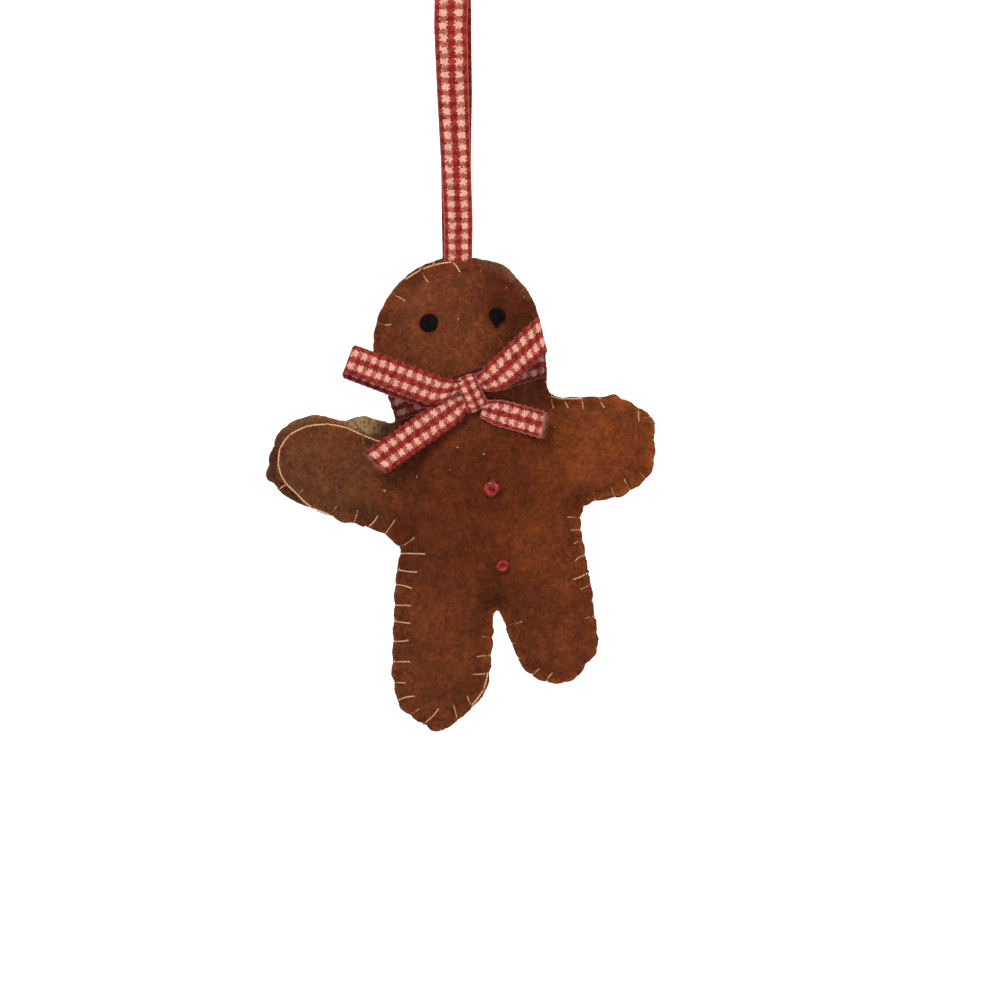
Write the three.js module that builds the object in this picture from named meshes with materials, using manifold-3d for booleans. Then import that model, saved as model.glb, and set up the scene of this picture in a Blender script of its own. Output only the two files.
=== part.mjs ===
// Gingerbread man ornament: two felt panels, blanket stitched edge to edge over soft filling,
// hung on a loop of gingham ribbon and finished with a ribbon bow at the neck.
// Millimetres, +Z up. The origin is the inside top of the hanging loop and the front faces -Y.
// Places on the figure are pairs: across, and up from the crown of the head.

import * as THREE from 'three';
import { ConvexHull } from 'three/addons/math/ConvexHull.js';
import { mergeVertices } from 'three/addons/utils/BufferGeometryUtils.js';
import Module from 'manifold-3d';

const wasm = await Module();
wasm.setup();

// Clearances between pieces
const clearance = 0.3;
const overrun = 5;

// Gingham ribbon
const ribbonWidth = 6;
const ribbonThickness = 0.35;
const bunchedWidth = 5;

// Hanging loop
const loopDrop = 70;
const loopHalfWidth = 5;
const foldRise = 2.4;
const sewnLength = 8;

// Felt panels
const feltThickness = 1.2;
const seamGap = 0.3;
const seamMargin = 2.4;
const backOverhang = 0.35;
const softEdgeWidth = 1.1;
const meshPitch = 4;
const ringPitch = 2.3;

// Outline of the figure: radii of its rounded limbs, and the height that their places follow
const figureHeight = 94;
const crownRadius = 16.5;
const jawRadius = 14.8;
const neckRadius = 13.9;
const shoulderRadius = 16.7;
const waistRadius = 17.3;
const leftShoulderRadius = 9;
const leftHandRadius = 7.8;
const rightShoulderRadius = 11.1;
const rightHandRadius = 9.7;
const leftHipRadius = 10;
const leftAnkleRadius = 9.5;
const leftToeRadius = 7.3;
const rightHipRadius = 10;
const rightFootRadius = 8;
const backArmRadius = 10.4;
const backHandRadius = 8.4;
const backCrownSlip = 0.7;
const creaseFillet = 3;
const crotchFillet = 1.2;

// Blanket stitching
const stitchPitch = 3.4;
const stitchLength = 3;
const threadWidth = 0.5;

// Eyes, beads and the threads that hold the beads
const eyeRadius = 1.9;
const eyeHeight = 1;
const beadRadius = 1.4;
const beadHoleRadius = 0.5;
const beadHeight = 1.6;
const beadThreadWidth = 0.3;
const dimpleRadius = 2.6;
const dimpleDepth = 0.9;

// Bow
const leftLoopLength = 21.5;
const rightLoopLength = 15.1;
const rightLoopSlant = 1.6;
const leftTailLength = 20;
const rightTailLength = 12;
const knotLength = 6.4;
const knotWidth = 5;
const knotHeight = 2.4;
const bowLoopGap = 1.1;
const gatheredWidth = 2.8;

// Places as shares of the figure's height
const crownAcrossShare = 0.001;
const jawShares = [0.0234, -0.25];
const neckShares = [0.041, -0.383];
const shoulderShares = [0.064, -0.434];
const waistShares = [0.078, -0.543];
const leftShoulderShares = [-0.1175, -0.49];
const leftHandShares = [-0.3075, -0.436];
const rightShoulderShares = [0.196, -0.4095];
const rightHandShares = [0.32, -0.393];
const leftHipShares = [-0.02, -0.665];
const leftAnkleShares = [-0.032, -0.867];
const leftToeShares = [-0.0468, -0.914];
const rightHipShares = [0.168, -0.644];
const rightFootShares = [0.2138, -0.8085];
const backArmShares = [-0.1436, -0.4543];
const backHandShares = [-0.3064, -0.4245];
const leftEyeShares = [-0.0574, -0.1277];
const rightEyeShares = [0.0872, -0.1191];
const upperBeadShares = [0.0745, -0.483];
const lowerBeadShares = [0.0979, -0.6404];
const neckLineShares = [0.031, -0.265];
const knotShares = [0.034, -0.283];

// Shape shares
const puffShare = 0.52;
const cinchShare = 0.3;
const foldHandleShare = 0.5;
const sideDrawShare = 0.12;
const unevenLengthShare = 0.16;
const unevenSlantShare = 0.18;
const wadRootShares = { head: 0.3, leftArm: 0.15, rightArm: 0.35, leftLeg: 0.25, rightLeg: 0.45 };
const lengthWaveShares = [2.4, 0.9];
const slantWaveShares = [1.7, 3.1];
const knotRoundShare = 0.6;
const eyeFootShare = 0.9;
const loopReachShare = 4 / 9;

// Directions on the front, anticlockwise from +X
const neckLineAngle = THREE.MathUtils.degToRad(13);
const leftLoopAngle = THREE.MathUtils.degToRad(164);
const rightLoopAngle = THREE.MathUtils.degToRad(46);
const leftTailAngle = THREE.MathUtils.degToRad(215);
const rightTailAngle = THREE.MathUtils.degToRad(-22);
const knotAngle = THREE.MathUtils.degToRad(25);

// Half angle of the wedges in which the ribbon's two parts meet at the fold
const foldWedgeAngle = THREE.MathUtils.degToRad(42);

// Looks
const frontFeltLook = { color: 0x6b3b24, roughness: 0.95 };
const backFeltLook = { color: 0x5f331f, roughness: 0.95 };
const fillingLook = { color: 0xe9e4da, roughness: 1 };
const creamThreadLook = { color: 0xe2b48c, roughness: 0.8 };
const blackThreadLook = { color: 0x14110f, roughness: 0.9 };
const redThreadLook = { color: 0xb3121d, roughness: 0.8 };
const glassLook = { color: 0xb3121d, roughness: 0.15 };
const ribbonLook = { color: 0xa52a2e, roughness: 0.85 };

// Derived levels in the thickness of the ornament
const innerFace = seamGap / 2;
const outerFace = innerFace + feltThickness;
const threadLevel = innerFace + feltThickness / 2 + threadWidth / 4;
const threadOffset = clearance + threadWidth / 2;

const up = new THREE.Vector3(0, 0, 1);
const towardsBack = new THREE.Vector3(0, 1, 0);

function place(shares) {
  return new THREE.Vector2(shares[0], shares[1]).multiplyScalar(figureHeight);
}

function heading(angle) {
  return new THREE.Vector2(Math.cos(angle), Math.sin(angle));
}

// A point of the figure: across and up on the plane of the seam, and out from that plane
function spot(flat, depth) {
  return new THREE.Vector3(flat.x, depth, flat.y);
}

// Turns a body's faces outwards, judged by the sign of its volume
function facingOut(geometry) {
  const position = geometry.getAttribute('position');
  const index = geometry.getIndex().array;
  const a = new THREE.Vector3();
  const b = new THREE.Vector3();
  const c = new THREE.Vector3();
  let volume = 0;
  for (let i = 0; i < index.length; i += 3) {
    a.fromBufferAttribute(position, index[i]);
    b.fromBufferAttribute(position, index[i + 1]);
    c.fromBufferAttribute(position, index[i + 2]);
    volume += a.dot(b.cross(c));
  }
  if (volume < 0) {
    for (let i = 0; i < index.length; i += 3) {
      [index[i + 1], index[i + 2]] = [index[i + 2], index[i + 1]];
    }
  }
  return geometry;
}

function bodyGeometry(points, triangles) {
  const geometry = new THREE.BufferGeometry().setFromPoints(points);
  geometry.setIndex(triangles.flat());
  return facingOut(geometry);
}

// Solid joins and cuts
function toSolid(geometry) {
  const bare = geometry.clone();
  bare.deleteAttribute('normal');
  bare.deleteAttribute('uv');
  const merged = mergeVertices(bare);
  const vertProperties = new Float32Array(merged.getAttribute('position').array);
  const triVerts = new Uint32Array(merged.getIndex().array);
  return new wasm.Manifold(new wasm.Mesh({ numProp: 3, vertProperties, triVerts }));
}

function toGeometry(solid) {
  const mesh = solid.getMesh();
  const geometry = new THREE.BufferGeometry();
  geometry.setAttribute('position', new THREE.BufferAttribute(mesh.vertProperties, 3));
  geometry.setIndex(new THREE.BufferAttribute(mesh.triVerts, 1));
  return geometry;
}

// A strip laid along stations; each has a centre, a half width vector and a half thickness vector
function stripGeometry(stations, closed = false) {
  const points = [];
  const corners = [[-1, -1], [1, -1], [1, 1], [-1, 1]];
  for (const { centre, across, thick } of stations) {
    for (const [side, face] of corners) {
      points.push(centre.clone().addScaledVector(across, side).addScaledVector(thick, face));
    }
  }
  const triangles = [];
  const spans = closed ? stations.length : stations.length - 1;
  for (let i = 0; i < spans; i += 1) {
    const here = i * corners.length;
    const next = ((i + 1) % stations.length) * corners.length;
    for (let c = 0; c < corners.length; c += 1) {
      const d = (c + 1) % corners.length;
      triangles.push([here + c, here + d, next + d], [here + c, next + d, next + c]);
    }
  }
  if (!closed) {
    const last = (stations.length - 1) * corners.length;
    triangles.push([0, 2, 1], [0, 3, 2], [last, last + 1, last + 2], [last, last + 2, last + 3]);
  }
  return bodyGeometry(points, triangles);
}

// Stations of a ribbon along a line, with its width lying along one direction throughout
function ribbonStations(line, acrossDirection, widthAt, closed = false) {
  return line.map((centre, i) => {
    const before = line[closed ? (i + line.length - 1) % line.length : Math.max(i - 1, 0)];
    const after = line[closed ? (i + 1) % line.length : Math.min(i + 1, line.length - 1)];
    const along = after.clone().sub(before).normalize();
    const across = acrossDirection.clone().multiplyScalar(widthAt(i) / 2);
    const thick = along.cross(acrossDirection).normalize().multiplyScalar(ribbonThickness / 2);
    return { centre, across, thick };
  });
}

// A square thread along a line
function threadGeometry(line, width, closed = false) {
  const stations = line.map((centre, i) => {
    const before = line[closed ? (i + line.length - 1) % line.length : Math.max(i - 1, 0)];
    const after = line[closed ? (i + 1) % line.length : Math.min(i + 1, line.length - 1)];
    const along = after.clone().sub(before).normalize();
    const guide = closed ? towardsBack : line[1].clone().sub(line[0]).cross(line[2].clone().sub(line[1]));
    const thick = guide.clone().addScaledVector(along, -guide.dot(along)).normalize();
    const across = along.clone().cross(thick).multiplyScalar(width / 2);
    return { centre, across, thick: thick.multiplyScalar(width / 2) };
  });
  return stripGeometry(stations, closed);
}

// Signed distance to a limb that tapers from one round end to the other
function limbDistance(flat, limb) {
  const axis = limb.end.clone().sub(limb.start);
  const length = axis.length();
  axis.normalize();
  const offset = flat.clone().sub(limb.start);
  const beside = Math.abs(offset.cross(axis));
  const along = offset.dot(axis);
  const slope = (limb.startRadius - limb.endRadius) / length;
  const rise = Math.sqrt(1 - slope * slope);
  const reach = along * rise - beside * slope;
  if (reach < 0) return Math.hypot(beside, along) - limb.startRadius;
  if (reach > rise * length) return Math.hypot(beside, along - length) - limb.endRadius;
  return beside * rise + along * slope - limb.startRadius;
}

function limb(startShares, startRadius, endShares, endRadius) {
  return { start: place(startShares), startRadius, end: place(endShares), endRadius };
}

// The crown touches the top of the figure
const crown = new THREE.Vector2(crownAcrossShare * figureHeight, -crownRadius);
const backCrown = crown.clone().addScalar(backCrownSlip);

function headFrom(centre) {
  return { start: centre, startRadius: crownRadius, end: place(jawShares), endRadius: jawRadius };
}

const limbs = {
  head: headFrom(crown),
  neck: limb(jawShares, jawRadius, neckShares, neckRadius),
  chest: limb(shoulderShares, shoulderRadius, waistShares, waistRadius),
  leftArm: limb(leftShoulderShares, leftShoulderRadius, leftHandShares, leftHandRadius),
  rightArm: limb(rightShoulderShares, rightShoulderRadius, rightHandShares, rightHandRadius),
  leftLeg: limb(leftHipShares, leftHipRadius, leftAnkleShares, leftAnkleRadius),
  leftFoot: limb(leftAnkleShares, leftAnkleRadius, leftToeShares, leftToeRadius),
  rightLeg: limb(rightHipShares, rightHipRadius, rightFootShares, rightFootRadius),
};

// The back panel slipped up and across at the crown, and was cut larger round the left arm
const backLimbs = {
  ...limbs,
  head: headFrom(backCrown),
  leftArm: limb(backArmShares, backArmRadius, backHandShares, backHandRadius),
};

// Joins two distances with a fillet in the crease between them
function filleted(a, b, fillet) {
  const overlap = Math.max(fillet - Math.abs(a - b), 0);
  return Math.min(a, b) - (overlap * overlap) / (4 * fillet);
}

// Distance from the edge of a panel, negative inside it
function figureField(flat, parts) {
  let distance = limbDistance(flat, parts.head);
  for (const part of [parts.neck, parts.chest, parts.leftArm, parts.rightArm]) {
    distance = filleted(distance, limbDistance(flat, part), creaseFillet);
  }
  const leftLeg = Math.min(limbDistance(flat, parts.leftLeg), limbDistance(flat, parts.leftFoot));
  const legs = filleted(leftLeg, limbDistance(flat, parts.rightLeg), crotchFillet);
  return filleted(distance, legs, creaseFillet);
}

const frontField = (flat) => figureField(flat, limbs);
const backField = (flat) => figureField(flat, backLimbs) - backOverhang;

function gradient(field, flat) {
  const step = seamGap / 10;
  const dx = new THREE.Vector2(step, 0);
  const dz = new THREE.Vector2(0, step);
  return new THREE.Vector2(
    field(flat.clone().add(dx)) - field(flat.clone().sub(dx)),
    field(flat.clone().add(dz)) - field(flat.clone().sub(dz)),
  ).divideScalar(2 * step);
}

// Moves a place to where the field has a level
function settle(field, flat, level) {
  const rounds = 5;
  const settled = flat.clone();
  for (let i = 0; i < rounds; i += 1) {
    const slope = gradient(field, settled);
    settled.addScaledVector(slope, (level - field(settled)) / slope.lengthSq());
  }
  return settled;
}

// Points spaced evenly along the line where the field has a level, anticlockwise from the crown
function outline(field, level, pitch) {
  const stride = seamGap;
  const trail = [settle(field, new THREE.Vector2(0, 0), level)];
  let travelled = 0;
  const lengths = [0];
  while (travelled < 2 * stride || trail.at(-1).distanceTo(trail[0]) > stride) {
    const slope = gradient(field, trail.at(-1)).normalize();
    const ahead = trail.at(-1).clone().add(new THREE.Vector2(-slope.y, slope.x).multiplyScalar(stride));
    const next = settle(field, ahead, level);
    travelled += next.distanceTo(trail.at(-1));
    trail.push(next);
    lengths.push(travelled);
  }
  const total = travelled + trail.at(-1).distanceTo(trail[0]);
  const count = Math.round(total / pitch);
  const spaced = [];
  let k = 0;
  for (let i = 0; i < count; i += 1) {
    while (lengths[k + 1] < (i * total) / count) k += 1;
    spaced.push(settle(field, trail[k].clone(), level));
  }
  return spaced;
}

// The domed part of both panels: a ring inside the seam margin, and a lattice of points within it
const dome = (() => {
  const inside = (flat) => frontField(flat) + seamMargin;
  const ring = outline(frontField, -seamMargin, ringPitch);
  const points = [...ring];
  const dimples = [place(upperBeadShares), place(lowerBeadShares)];
  for (const centre of dimples) {
    points.push(centre);
    const around = 6;
    for (let i = 0; i < around; i += 1) {
      points.push(heading((i * 2 * Math.PI) / around).multiplyScalar(dimpleRadius).add(centre));
    }
  }
  const box = new THREE.Box2().setFromPoints(ring);
  const rowPitch = meshPitch * Math.sin(Math.PI / 3);
  for (let row = 0; box.min.y + row * rowPitch < box.max.y; row += 1) {
    const shift = row % 2 ? meshPitch / 2 : 0;
    for (let x = box.min.x + shift; x < box.max.x; x += meshPitch) {
      const flat = new THREE.Vector2(x, box.min.y + row * rowPitch);
      const clearOfDimples = dimples.every((c) => c.distanceTo(flat) > dimpleRadius + meshPitch / 2);
      if (inside(flat) < -meshPitch / 2 && clearOfDimples) points.push(flat);
    }
  }
  return { inside, ring, points, dimples };
})();

// Delaunay triangles of the dome: the lower hull of its points lifted onto a paraboloid
function triangulate({ points, inside }) {
  const lifted = points.map((p) => new THREE.Vector3(p.x, p.y, p.lengthSq() / figureHeight));
  const indexOf = new Map(lifted.map((point, i) => [point, i]));
  const sliverShare = 0.0001;
  const triangles = [];
  for (const face of new ConvexHull().setFromPoints(lifted).faces) {
    if (face.normal.z > -sliverShare) continue;
    const corners = [0, 1, 2].map((i) => indexOf.get(face.getEdge(i).head().point));
    const [a, b, c] = corners.map((i) => points[i]);
    const centre = a.clone().add(b).add(c).divideScalar(corners.length);
    const turn = b.clone().sub(a).cross(c.clone().sub(a));
    if (inside(centre) < 0) triangles.push(turn > 0 ? corners : corners.reverse());
  }
  return triangles;
}

// Fullness of the filling: the height of a film blown up over the dome, found by relaxation
function inflate({ points, ring, dimples }, triangles) {
  const links = points.map(() => new Map());
  const areas = points.map(() => 0);
  for (const triangle of triangles) {
    for (let i = 0; i < 3; i += 1) {
      const [a, b, c] = [0, 1, 2].map((step) => triangle[(i + step) % 3]);
      const toA = points[a].clone().sub(points[c]);
      const toB = points[b].clone().sub(points[c]);
      const doubled = toA.cross(toB);
      const weight = toA.dot(toB) / doubled / 2;
      links[a].set(b, (links[a].get(b) ?? 0) + weight);
      links[b].set(a, (links[b].get(a) ?? 0) + weight);
      areas[a] += doubled / 6;
    }
  }
  const film = points.map(() => 0);
  const rounds = 400;
  for (let round = 0; round < rounds; round += 1) {
    for (let i = ring.length; i < points.length; i += 1) {
      let pull = areas[i];
      let weights = 0;
      for (const [j, weight] of links[i]) {
        pull += weight * film[j];
        weights += weight;
      }
      film[i] = pull / weights;
    }
  }
  const neckUp = heading(neckLineAngle + Math.PI / 2);
  return film.map((value, i) => {
    const round = Math.sqrt(2 * value + softEdgeWidth * softEdgeWidth) - softEdgeWidth;
    const fromNeck = points[i].clone().sub(place(neckLineShares)).dot(neckUp) / ribbonWidth;
    const cinch = 1 - cinchShare * Math.exp(-fromNeck * fromNeck);
    const sunk = dimples.some((centre) => centre.equals(points[i])) ? dimpleDepth : 0;
    return puffShare * round * cinch - sunk;
  });
}

const domeTriangles = triangulate(dome);
const domeHeights = inflate(dome, domeTriangles);

// How far the dome stands above the seam margin at a place
function reliefAt(flat) {
  for (const triangle of domeTriangles) {
    const [a, b, c] = triangle.map((i) => dome.points[i]);
    const whole = b.clone().sub(a).cross(c.clone().sub(a));
    const u = b.clone().sub(flat).cross(c.clone().sub(flat)) / whole;
    const v = c.clone().sub(flat).cross(a.clone().sub(flat)) / whole;
    const w = 1 - u - v;
    const [ha, hb, hc] = triangle.map((i) => domeHeights[i]);
    if (u >= 0 && v >= 0 && w >= 0) return u * ha + v * hb + w * hc;
  }
  return 0;
}

// A felt panel: domed over the filling, flat in the seam margin; side is -1 in front and 1 behind
function feltPanel(field, side) {
  const ringCount = dome.ring.length;
  const edge = dome.ring.map((flat) => settle(field, flat, 0));
  const flats = [...dome.points, ...edge];
  const heights = [...domeHeights, ...edge.map(() => 0)];
  const sheet = [...domeTriangles];
  for (let i = 0; i < ringCount; i += 1) {
    const j = (i + 1) % ringCount;
    const out = dome.points.length;
    sheet.push([i, out + i, out + j], [i, out + j, j]);
  }
  const outer = flats.map((flat, i) => spot(flat, side * (outerFace + heights[i])));
  const inner = flats.map((flat, i) => spot(flat, side * (innerFace + heights[i])));
  const triangles = [...sheet];
  for (const [a, b, c] of sheet) {
    triangles.push([a, c, b].map((i) => i + flats.length));
  }
  for (let i = 0; i < ringCount; i += 1) {
    const near = dome.points.length + i;
    const next = dome.points.length + ((i + 1) % ringCount);
    triangles.push([near, near + flats.length, next + flats.length]);
    triangles.push([near, next + flats.length, next]);
  }
  const panel = toSolid(bodyGeometry([...outer, ...inner], triangles));
  return toGeometry(panel.subtract(toSolid(sewnPocket())));
}

// Room between the panels for the sewn ends of the hanging ribbon
function sewnPocket() {
  const width = ribbonWidth + 2 * clearance;
  const depth = 2 * (ribbonThickness + clearance);
  const height = sewnLength + clearance + overrun;
  const pocket = new THREE.BoxGeometry(width, depth, height);
  return pocket.translate(0, 0, height / 2 - sewnLength - clearance);
}

// The filling under both panels, before it is parted into wads
function fillingSolid() {
  const ringCount = dome.ring.length;
  const shrink = -seamMargin - ringPitch / 4;
  const flats = dome.points.map((flat, i) => (i < ringCount ? settle(frontField, flat, shrink) : flat));
  const depth = (i) => Math.max(domeHeights[i] + innerFace - clearance, ribbonThickness / 2);
  const front = flats.map((flat, i) => spot(flat, i < ringCount ? 0 : -depth(i)));
  const back = flats.slice(ringCount).map((flat, i) => spot(flat, depth(i + ringCount)));
  const behind = (i) => (i < ringCount ? i : i - ringCount + flats.length);
  const triangles = [...domeTriangles];
  for (const [a, b, c] of domeTriangles) {
    triangles.push([behind(a), behind(c), behind(b)]);
  }
  return toSolid(bodyGeometry([...front, ...back], triangles));
}

// A box round a limb from its root outwards, grown by a margin
function limbBox(part, rootShare, margin) {
  const axis = part.end.clone().sub(part.start);
  const root = part.start.clone().addScaledVector(axis, rootShare);
  const radius = Math.max(part.startRadius, part.endRadius);
  const length = part.end.distanceTo(root) + radius;
  const box = new THREE.BoxGeometry(length + margin, 4 * radius, 2 * radius);
  box.translate((length - margin) / 2, 0, 0);
  box.rotateY(-axis.angle());
  return box.translate(root.x, 0, root.y);
}

// Wads of filling, pushed into the head and limbs first and then into the body
function fillingWads() {
  const roots = {
    filling_head: [{ ...limbs.head, start: limbs.neck.end, end: crown }, wadRootShares.head],
    filling_left_arm: [limbs.leftArm, wadRootShares.leftArm],
    filling_right_arm: [limbs.rightArm, wadRootShares.rightArm],
    filling_left_leg: [{ ...limbs.leftLeg, end: limbs.leftFoot.end }, wadRootShares.leftLeg],
    filling_right_leg: [limbs.rightLeg, wadRootShares.rightLeg],
  };
  const wads = {};
  let body = fillingSolid().subtract(toSolid(sewnPocket()));
  for (const [name, [part, rootShare]] of Object.entries(roots)) {
    wads[name] = toGeometry(body.intersect(toSolid(limbBox(part, rootShare, 0))));
    body = body.subtract(toSolid(limbBox(part, rootShare, clearance)));
  }
  wads.filling_body = toGeometry(body);
  return wads;
}

// Wedge of space with its edge on the fold; the ribbon's two parts keep to one each and swing clear
function foldWedge(level, direction) {
  const rise = direction * (loopDrop + overrun);
  const wide = Math.abs(rise) * Math.tan(foldWedgeAngle);
  const points = [-ribbonWidth, ribbonWidth].flatMap((x) => [
    new THREE.Vector3(x, 0, level),
    new THREE.Vector3(x, wide, level + rise),
    new THREE.Vector3(x, -wide, level + rise),
  ]);
  const sides = [[0, 3, 4], [0, 4, 1], [1, 4, 5], [1, 5, 2], [2, 5, 3], [2, 3, 0]];
  return toSolid(bodyGeometry(points, [[0, 1, 2], [3, 5, 4], ...sides]));
}

// Doubled end of the hanging ribbon, sewn between the panels and standing up to the fold
function sewnEnds() {
  const height = sewnLength + foldRise - clearance / 2;
  const ends = new THREE.BoxGeometry(ribbonWidth, 2 * ribbonThickness, height);
  ends.translate(0, 0, height / 2 - sewnLength);
  return toGeometry(toSolid(ends).intersect(foldWedge(foldRise, -1)));
}

// The ribbon's hanging loop: up from the fold, over the hanging point and down again
function hangingRibbon() {
  const fold = -loopDrop + foldRise;
  const foot = fold + clearance / 2;
  const layer = (ribbonThickness + clearance) / 2;
  const top = ribbonThickness / 2;
  const handle = loopHalfWidth / loopReachShare;
  const spans = 14;
  const side = new THREE.CubicBezierCurve3(
    new THREE.Vector3(0, layer, foot),
    new THREE.Vector3(0, layer, foot * foldHandleShare),
    new THREE.Vector3(0, handle, top),
    new THREE.Vector3(0, 0, top),
  );
  const rising = side.getPoints(spans);
  const falling = rising.slice(0, -1).reverse().map((p) => new THREE.Vector3(p.x, -p.y, p.z));
  const acrossX = new THREE.Vector3(1, 0, 0);
  const ribbon = stripGeometry(ribbonStations([...rising, ...falling], acrossX, () => ribbonWidth));
  return toGeometry(toSolid(ribbon).intersect(foldWedge(fold, 1)));
}

// Blanket stitching: a thread round the edge of the front panel, and a stitch over the edge
// every few millimetres with a leg on each face; length and slant wander as in hand sewing
const stitchedEdge = outline(frontField, threadOffset, stitchPitch);
const stitchLines = stitchedEdge.map((flat, i) => {
  const wander = 1 + unevenLengthShare * waves(lengthWaveShares, i);
  const slant = unevenSlantShare * waves(slantWaveShares, i);
  const inward = gradient(frontField, flat).normalize().negate();
  const leg = inward.clone().rotateAround(new THREE.Vector2(0, 0), slant);
  return stitchLine(flat, inward, leg, stitchLength * wander + threadOffset);
});

function waves(rates, i) {
  return rates.reduce((sum, rate) => sum + Math.sin(rate * i), 0);
}

function stitchLine(flat, inward, leg, length) {
  const lift = outerFace + clearance + threadWidth / 2;
  const tip = flat.clone().addScaledVector(leg, length);
  const line = [spot(tip, -(lift + reliefAt(tip))), spot(flat, -lift)];
  const reach = wrapReach(flat, inward);
  const round = flat.clone().addScaledVector(inward, -reach);
  const clearOfRibbon = Math.abs(flat.x) > ribbonWidth / 2 + 2 * threadWidth || flat.y < -sewnLength;
  if (backField(round) > threadOffset && clearOfRibbon) {
    const backTip = flat.clone().addScaledVector(leg, Math.max(length - seamMargin / 2, threadWidth));
    if (reach > threadOffset + clearance) {
      line.push(spot(flat, -threadLevel), spot(round, -innerFace - threadWidth / 2));
    }
    line.push(spot(round, lift), spot(backTip, lift + reliefAt(backTip)));
  } else {
    line.push(spot(flat, -threadLevel + threadWidth / 4));
  }
  return line;
}

function blanketStitching() {
  const edge = stitchedEdge.map((flat) => spot(flat, -threadLevel));
  let solid = toSolid(threadGeometry(edge, threadWidth, true));
  for (const line of stitchLines) {
    solid = solid.add(toSolid(threadGeometry(line, threadWidth)));
  }
  return toGeometry(solid);
}

// How far past the front edge the thread goes to clear the back panel, within a short search
function wrapReach(flat, inward) {
  const furthest = 2 * seamMargin / 3;
  let reach = 0;
  while (reach < furthest) {
    if (backField(flat.clone().addScaledVector(inward, -reach)) > threadOffset + clearance / 2) break;
    reach += threadWidth / 5;
  }
  return reach;
}

// Seats a round piece on the front: its axis stands off the felt under it
function seated(geometry, flat, radius) {
  const around = 12;
  const rim = [];
  for (let i = 0; i < around; i += 1) {
    const beside = heading((i * 2 * Math.PI) / around).multiplyScalar(radius).add(flat);
    rim.push(spot(beside, -outerFace - reliefAt(beside)));
  }
  const normal = new THREE.Vector3();
  const centre = new THREE.Vector3();
  rim.forEach((p, i) => {
    normal.add(p.clone().cross(rim[(i + 1) % around]));
    centre.addScaledVector(p, 1 / around);
  });
  normal.normalize();
  if (normal.y > 0) normal.negate();
  const heart = spot(flat, -outerFace - reliefAt(flat));
  const proud = Math.max(...[...rim, heart].map((p) => p.clone().sub(centre).dot(normal)));
  const turn = new THREE.Quaternion().setFromUnitVectors(up, normal);
  geometry.applyQuaternion(turn);
  const at = centre.addScaledVector(normal, proud + clearance);
  return geometry.translate(at.x, at.y, at.z);
}

// A sewn eye: thread wound round and round into a low button
function eye(flat) {
  const turns = 3;
  const segments = 18;
  const profile = [new THREE.Vector2(0, 0), new THREE.Vector2(eyeRadius * eyeFootShare, 0)];
  const steps = 3 * turns;
  for (let i = 0; i <= steps; i += 1) {
    const share = i / steps;
    const ridge = i % 3 === 0 ? -threadWidth / 4 : 0;
    const high = eyeHeight * Math.sin((1 - eyeFootShare * (1 - share)) * Math.PI / 2);
    profile.push(new THREE.Vector2(eyeRadius * Math.cos((share * Math.PI) / 2), high + ridge));
  }
  profile[profile.length - 1].x = 0;
  const button = new THREE.LatheGeometry(profile, segments).rotateX(Math.PI / 2);
  return seated(closedLathe(button), flat, eyeRadius);
}

// A lathe body with its seam and poles closed, facing out
function closedLathe(geometry) {
  const solid = geometry.clone();
  solid.deleteAttribute('normal');
  solid.deleteAttribute('uv');
  const merged = mergeVertices(solid, seamGap / 100);
  const index = merged.getIndex().array;
  const kept = [];
  for (let i = 0; i < index.length; i += 3) {
    const [a, b, c] = [index[i], index[i + 1], index[i + 2]];
    if (a !== b && b !== c && a !== c) kept.push(a, b, c);
  }
  merged.setIndex(kept);
  return facingOut(merged);
}

// A bead and its thread stand on one seat, which reaches past the thread beside the bead
const beadSeatRadius = beadRadius + clearance + beadThreadWidth;

// A round glass bead with a hole through it
function bead(flat) {
  const middle = (beadRadius + beadHoleRadius) / 2;
  const wall = (beadRadius - beadHoleRadius) / 2;
  const steps = 8;
  const segments = 16;
  const profile = [];
  for (let i = 0; i <= steps; i += 1) {
    const angle = ((i + 0.5) * 2 * Math.PI) / steps;
    const high = (beadHeight / 2) * (1 + Math.sin(angle) / Math.cos(Math.PI / steps));
    profile.push(new THREE.Vector2(middle + wall * Math.cos(angle) / Math.cos(Math.PI / steps), high));
  }
  const ring = new THREE.LatheGeometry(profile, segments).rotateX(Math.PI / 2);
  return seated(closedLathe(ring), flat, beadSeatRadius);
}

// The thread that holds a bead: up beside it, over its rim and down through its hole
function beadThread(flat) {
  const outside = beadRadius + clearance + beadThreadWidth / 2;
  const high = beadHeight + clearance + beadThreadWidth / 2;
  const line = [
    new THREE.Vector3(0, 0, beadThreadWidth / 2),
    new THREE.Vector3(0, 0, high),
    new THREE.Vector3(outside, 0, high),
    new THREE.Vector3(outside, 0, beadThreadWidth / 2),
  ];
  return seated(threadGeometry(line, beadThreadWidth), flat, beadSeatRadius);
}

// A place on the neck: along the ribbon's line from its middle, and up across its width
function neckPlace(along, upward) {
  const flat = place(neckLineShares).addScaledVector(heading(neckLineAngle), along);
  return flat.addScaledVector(heading(neckLineAngle + Math.PI / 2), upward);
}

// Distance along the neck line from its middle to clear of both panels
function neckEdge(upward, side) {
  const step = threadWidth / 2;
  let along = 0;
  while (Math.min(frontField(neckPlace(along, upward)), backField(neckPlace(along, upward))) < 0) {
    along += side * step;
  }
  return along;
}

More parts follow.
